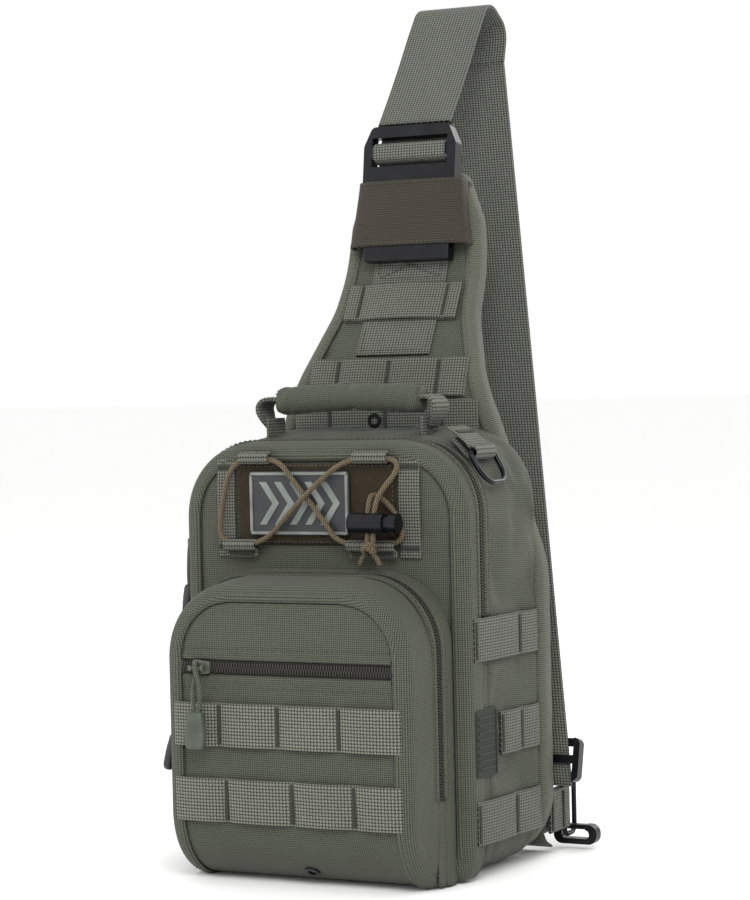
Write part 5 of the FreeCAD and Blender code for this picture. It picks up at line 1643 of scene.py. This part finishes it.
# %% Shock cord and its knot
def route(name, points, order=3):
    """The smooth line of a cord laid through its control points, in millimetres."""
    curve = bpy.data.curves.new(name, "CURVE")
    curve.dimensions = "3D"
    spline = curve.splines.new("NURBS")
    spline.points.add(len(points) - 1)
    for p, q in zip(spline.points, points):
        p.co = (q[0] * MM, q[1] * MM, q[2] * MM, 1.0)
    spline.order_u = order
    spline.use_endpoint_u = True
    spline.resolution_u = 8
    holder = bpy.data.objects.new(name, curve)
    bpy.context.scene.collection.objects.link(holder)
    line = bpy.data.meshes.new_from_object(holder)
    found = np.array([v.co for v in line.vertices]) / MM
    bpy.data.objects.remove(holder)
    bpy.data.meshes.remove(line)
    keep = np.concatenate([[True], np.linalg.norm(np.diff(found, axis=0), axis=1) > 1e-4])
    return found[keep]


LOCK_Y = -57.6
CORD_ROUTE = [(40.0, -57.6, 192.0), (40.0, -57.6, 214.0), (46.5, -53.6, 226.0), (52.5, -49.5, 234.0),
              (51.0, -49.0, 241.5), (19.0, -49.0, 241.5), (-0.5, -54.0, 224.5), (-14.5, -54.0, 211.5),
              (-36.0, -49.9, 191.0), (-66.5, -49.0, 191.0), (-63.5, -49.0, 216.0), (-56.0, -49.0, 241.5),
              (-26.0, -49.0, 241.5), (-16.0, -50.9, 230.0), (5.0, -50.9, 205.5), (14.0, -49.9, 191.0),
              (55.5, -49.0, 191.0), (53.0, -49.0, 207.0), (40.0, -49.6, 221.0), (36.4, -57.6, 219.5),
              (36.4, -57.6, 192.0)]


def make_cord():
    line = route("lacing", CORD_ROUTE)
    lacing = tube("c", resample(line, 1.2), CORD_R, shock_braid, 12)
    k = np.array([37.5, LOCK_Y, 190.4])
    knot = [(2.4, 0.2, 6.0), (2.4, 0.0, 3.0), (-0.6, -2.8, 1.2), (-3.4, -1.4, -1.2), (-2.6, 2.0, -2.6),
            (1.0, 2.6, -1.0), (3.4, 0.2, 1.2), (2.0, -3.0, 2.2), (-1.6, -3.2, -0.4), (-2.6, -0.6, -3.4),
            (-4.6, 0.2, -6.0), (-6.4, 0.6, -9.6)]
    other = [(-1.2, 0.2, 6.0), (-1.4, 0.2, 3.0), (1.4, -2.0, 1.6), (3.6, -1.6, -1.4), (1.6, 2.4, -2.6),
             (-2.4, 2.4, -0.6), (-3.2, -0.6, 1.8), (-0.4, -3.4, 0.6), (2.6, -2.6, -1.6),
             (3.4, -0.4, -4.2), (5.0, 0.2, -6.6), (6.4, 0.6, -9.8)]
    strands = [tube("k", resample(smooth_line(k + np.array(s), 8), 0.7), 1.45, shock_braid, 10)
               for s in (knot, other)]
    placed(join("shock_cord_lacing", [lacing] + strands), "main_flap", "elastic_cord", "shock_cord")
    print("lacing", round(float(run_length(line)[-1])), "mm long")


make_cord()

# %% [markdown]
# ## Pulls
# Each slider has a doubled cord that ends in a moulded rubber grip with raised ribs.

# %% Pull cords and grips
SLIDERS = {"main": ((-94.4, -25.0, 190.0), -90.0, 4.0), "pocket": ((-81.6, -59.0, 104.0), -90.0, 14.0),
           "slit": ((-54.0, -92.2, 124.0), 0.0, 4.0)}


def make_pull(name, spot, turn, lean):
    level = name == "slit"
    pivot = -6.0 if level else -4.6
    c, s = math.cos(math.radians(lean)), math.sin(math.radians(lean))
    ct, st = math.cos(math.radians(turn)), math.sin(math.radians(turn))

    def place(x, y, z):
        yy, zz = y - pivot, z
        yy, zz = yy * c + zz * s, -yy * s + zz * c
        yy += pivot
        return (spot[0] + x * ct - yy * st, spot[1] + x * st + yy * ct, spot[2] + zz)
    if level:
        loop = [(-1.0, pivot + 1.4, -26.5), (-2.9, pivot + 1.6, -20), (-3.2, pivot + 2.2, -11),
                (-1.4, pivot + 2.6, -3.4), (-0.2, pivot + 2.5, 1.2), (0.1, pivot, 3.4),
                (0.4, pivot - 2.5, 1.2), (1.6, pivot - 2.4, -3.4), (3.3, pivot - 1.8, -11),
                (3.2, pivot - 1.2, -20), (1.4, pivot - 1.0, -26.5)]
    else:
        loop = [(-1.6, pivot, -26.5), (-3.0, pivot, -19), (-3.5, pivot, -8), (-3.2, pivot, -2.0),
                (-2.0, pivot, -0.1), (2.0, pivot, -0.1), (3.2, pivot, -2.0), (3.5, pivot, -8),
                (3.0, pivot, -19), (1.6, pivot, -26.5)]
    line = smooth_line([place(*p) for p in loop], 7)
    cord = tube(name + "_pull_braid", line, 1.25, pull_braid, 10)
    placed(cord, name + "_pull", "pull_cord", name + "_pull_cord")
    rings, uvs = [], []
    rows = np.linspace(0, 1, 25)
    count = 20
    for t in rows:
        z = -24.2 - 22.3 * t
        half = 4.2 + 2.1 * math.sin(min(1.0, t / 0.62) * math.pi / 2) - 1.3 * max(0.0, (t - 0.72) / 0.28) ** 2
        deep = 3.1 - 0.5 * max(0.0, (t - 0.8) / 0.2) ** 2
        ends = min(1.0, math.sqrt(min(t, 1 - t) / 0.07))
        rib = 0.38 * max(0.0, math.sin(t * 2 * math.pi * 6.5)) if 0.22 < t < 0.84 else 0.0
        for k in range(count):
            a = 2 * math.pi * k / count
            ca, sa = math.cos(a), math.sin(a)
            x = half * (0.72 + 0.28 * ends) * math.copysign(abs(ca) ** 0.6, ca)
            y = pivot + (deep + rib * abs(sa)) * (0.5 + 0.5 * ends) * math.copysign(abs(sa) ** 0.6, sa)
            rings.append(place(x, y, z))
            uvs.append((a * 4, z))
    faces = capped_faces(len(rows), count)
    grip = mesh_piece(name + "_pull_rubber", rings, faces, uvs, grip_rubber if level else dark_rubber)
    placed(softened(grip), name + "_pull", "grip_rubber", name + "_pull_grip")


for name, (spot, turn, lean) in SLIDERS.items():
    make_pull(name, spot, turn, lean)

# %% [markdown]
# ## Hardware
# Rings, sliders, buckle, lock, tri-glide and hook keep their CAD shapes, because those are already the
# real ones. A small bevel takes the sharpness off their edges, as a mould or a tumbling drum does.

# %% Bevels and finishes on the CAD parts
def dress_part(name, material, bevel_mm=0.35):
    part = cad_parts[name]
    part.data.materials.clear()
    part.data.materials.append(material)
    welded = part.modifiers.new("weld", "WELD")
    welded.merge_threshold = 0.002 * MM
    if bevel_mm:
        edge = part.modifiers.new("edge", "BEVEL")
        edge.width = bevel_mm * MM
        edge.segments = 2
        edge.limit_method = "ANGLE"
        edge.angle_limit = math.radians(35)
        edge.harden_normals = False
    for face in part.data.polygons:
        face.use_smooth = True
    smooth = part.modifiers.new("normals", "WEIGHTED_NORMAL")
    smooth.keep_sharp = False


HARDWARE = {"buckle_socket": (black_acetal, 0.7), "buckle_plug": (black_acetal, 0.7),
            "buckle_prong_right": (black_acetal, 0.5), "buckle_prong_left": (black_acetal, 0.5),
            "strap_adjuster": (black_acetal, 0.45), "snap_hook": (black_acetal, 0.9),
            "snap_hook_gate": (black_acetal, 0.4), "cord_lock_barrel": (black_acetal, 0.6),
            "cord_lock_plunger": (black_acetal, 0.6), "cord_lock_spring": (bare_steel, 0.0),
            "side_d_ring": (black_wire, 0.0), "corner_ring": (black_wire, 0.0),
            "pad_eyelet": (black_wire, 0.25), "drain_grommet": (black_wire, 0.3),
            "main_slider": (zip_enamel, 0.3), "pocket_slider": (zip_enamel, 0.3),
            "slit_slider": (zip_enamel, 0.3), "slit_pocket_lining": (lining_cloth, 0.0)}
for name, (material, bevel_mm) in HARDWARE.items():
    dress_part(name, material, bevel_mm)
shown = [n for n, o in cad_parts.items() if not o.hide_render]
print("CAD nodes shown", sorted(set(shown) - set(HARDWARE)))

# %% [markdown]
# ## Floor, light and camera
# A pale floor and a pale sky, three large soft lamps, and a long lens a little over bag height.

# %% Stage
def make_stage():
    bpy.ops.mesh.primitive_plane_add(size=60.0, location=(0, 0, -0.0005))
    floor = bpy.context.object
    floor.name = "floor"
    material, tree, shader = start_finish("floor_paper_matt", 0.9)
    grain = node(tree, "ShaderNodeTexNoise", {"Scale": 900.0})
    tree.links.new(two_tone(tree, grain.outputs[0], "#fafaf9", "#fefefe"), shader.inputs["Base Color"])
    floor.data.materials.append(material)
    world = bpy.data.worlds.new("pale_room")
    bpy.context.scene.world = world
    world.use_nodes = True
    sky = world.node_tree.nodes["Background"]
    sky.inputs["Color"].default_value = (1.0, 1.0, 1.0, 1.0)
    sky.inputs["Strength"].default_value = SKY_STRENGTH


def soft_lamp(name, place, aim, size, power):
    lamp = bpy.data.objects.new(name, bpy.data.lights.new(name, "AREA"))
    lamp.data.shape = "DISK"
    lamp.data.size = size
    lamp.data.energy = power
    lamp.location = place
    lamp.rotation_euler = (Vector(aim) - Vector(place)).to_track_quat("-Z", "Y").to_euler()
    bpy.context.scene.collection.objects.link(lamp)


SKY_STRENGTH = 1.0
make_stage()
bpy.context.scene.view_settings.view_transform = "Standard"
soft_lamp("key_softbox", (0.9, -1.5, 1.5), (0, 0, 0.2), 1.1, 26.0)
soft_lamp("back_softbox", (0.6, 1.9, 1.4), (0, 0, 0.2), 1.4, 14.0)
soft_lamp("fill_softbox", (-1.6, -1.1, 0.9), (0, 0, 0.2), 1.4, 9.0)


# %% Camera
def make_camera(place, turn, pitch, roll, lens):
    """A camera at place that looks along turn (about Z) and pitch (down), then rolls about its view."""
    turn, pitch = math.radians(turn), math.radians(pitch)
    right = Vector((math.cos(turn), math.sin(turn), 0.0))
    look = Vector((-math.sin(turn) * math.cos(pitch), math.cos(turn) * math.cos(pitch), -math.sin(pitch)))
    up = right.cross(look)
    axes = Matrix((right, up, -look)).transposed().to_4x4()
    camera = bpy.data.objects.new("camera", bpy.data.cameras.new("camera"))
    camera.matrix_world = Matrix.Translation(place) @ axes @ Matrix.Rotation(math.radians(roll), 4, "Z")
    camera.data.lens = lens
    camera.data.sensor_width = 36.0
    camera.data.sensor_fit = "AUTO"
    bpy.context.scene.collection.objects.link(camera)
    bpy.context.scene.camera = camera


make_camera((0.7455, -1.4079, 0.2858), 27.5, 1.5, -1.3, 108.0)
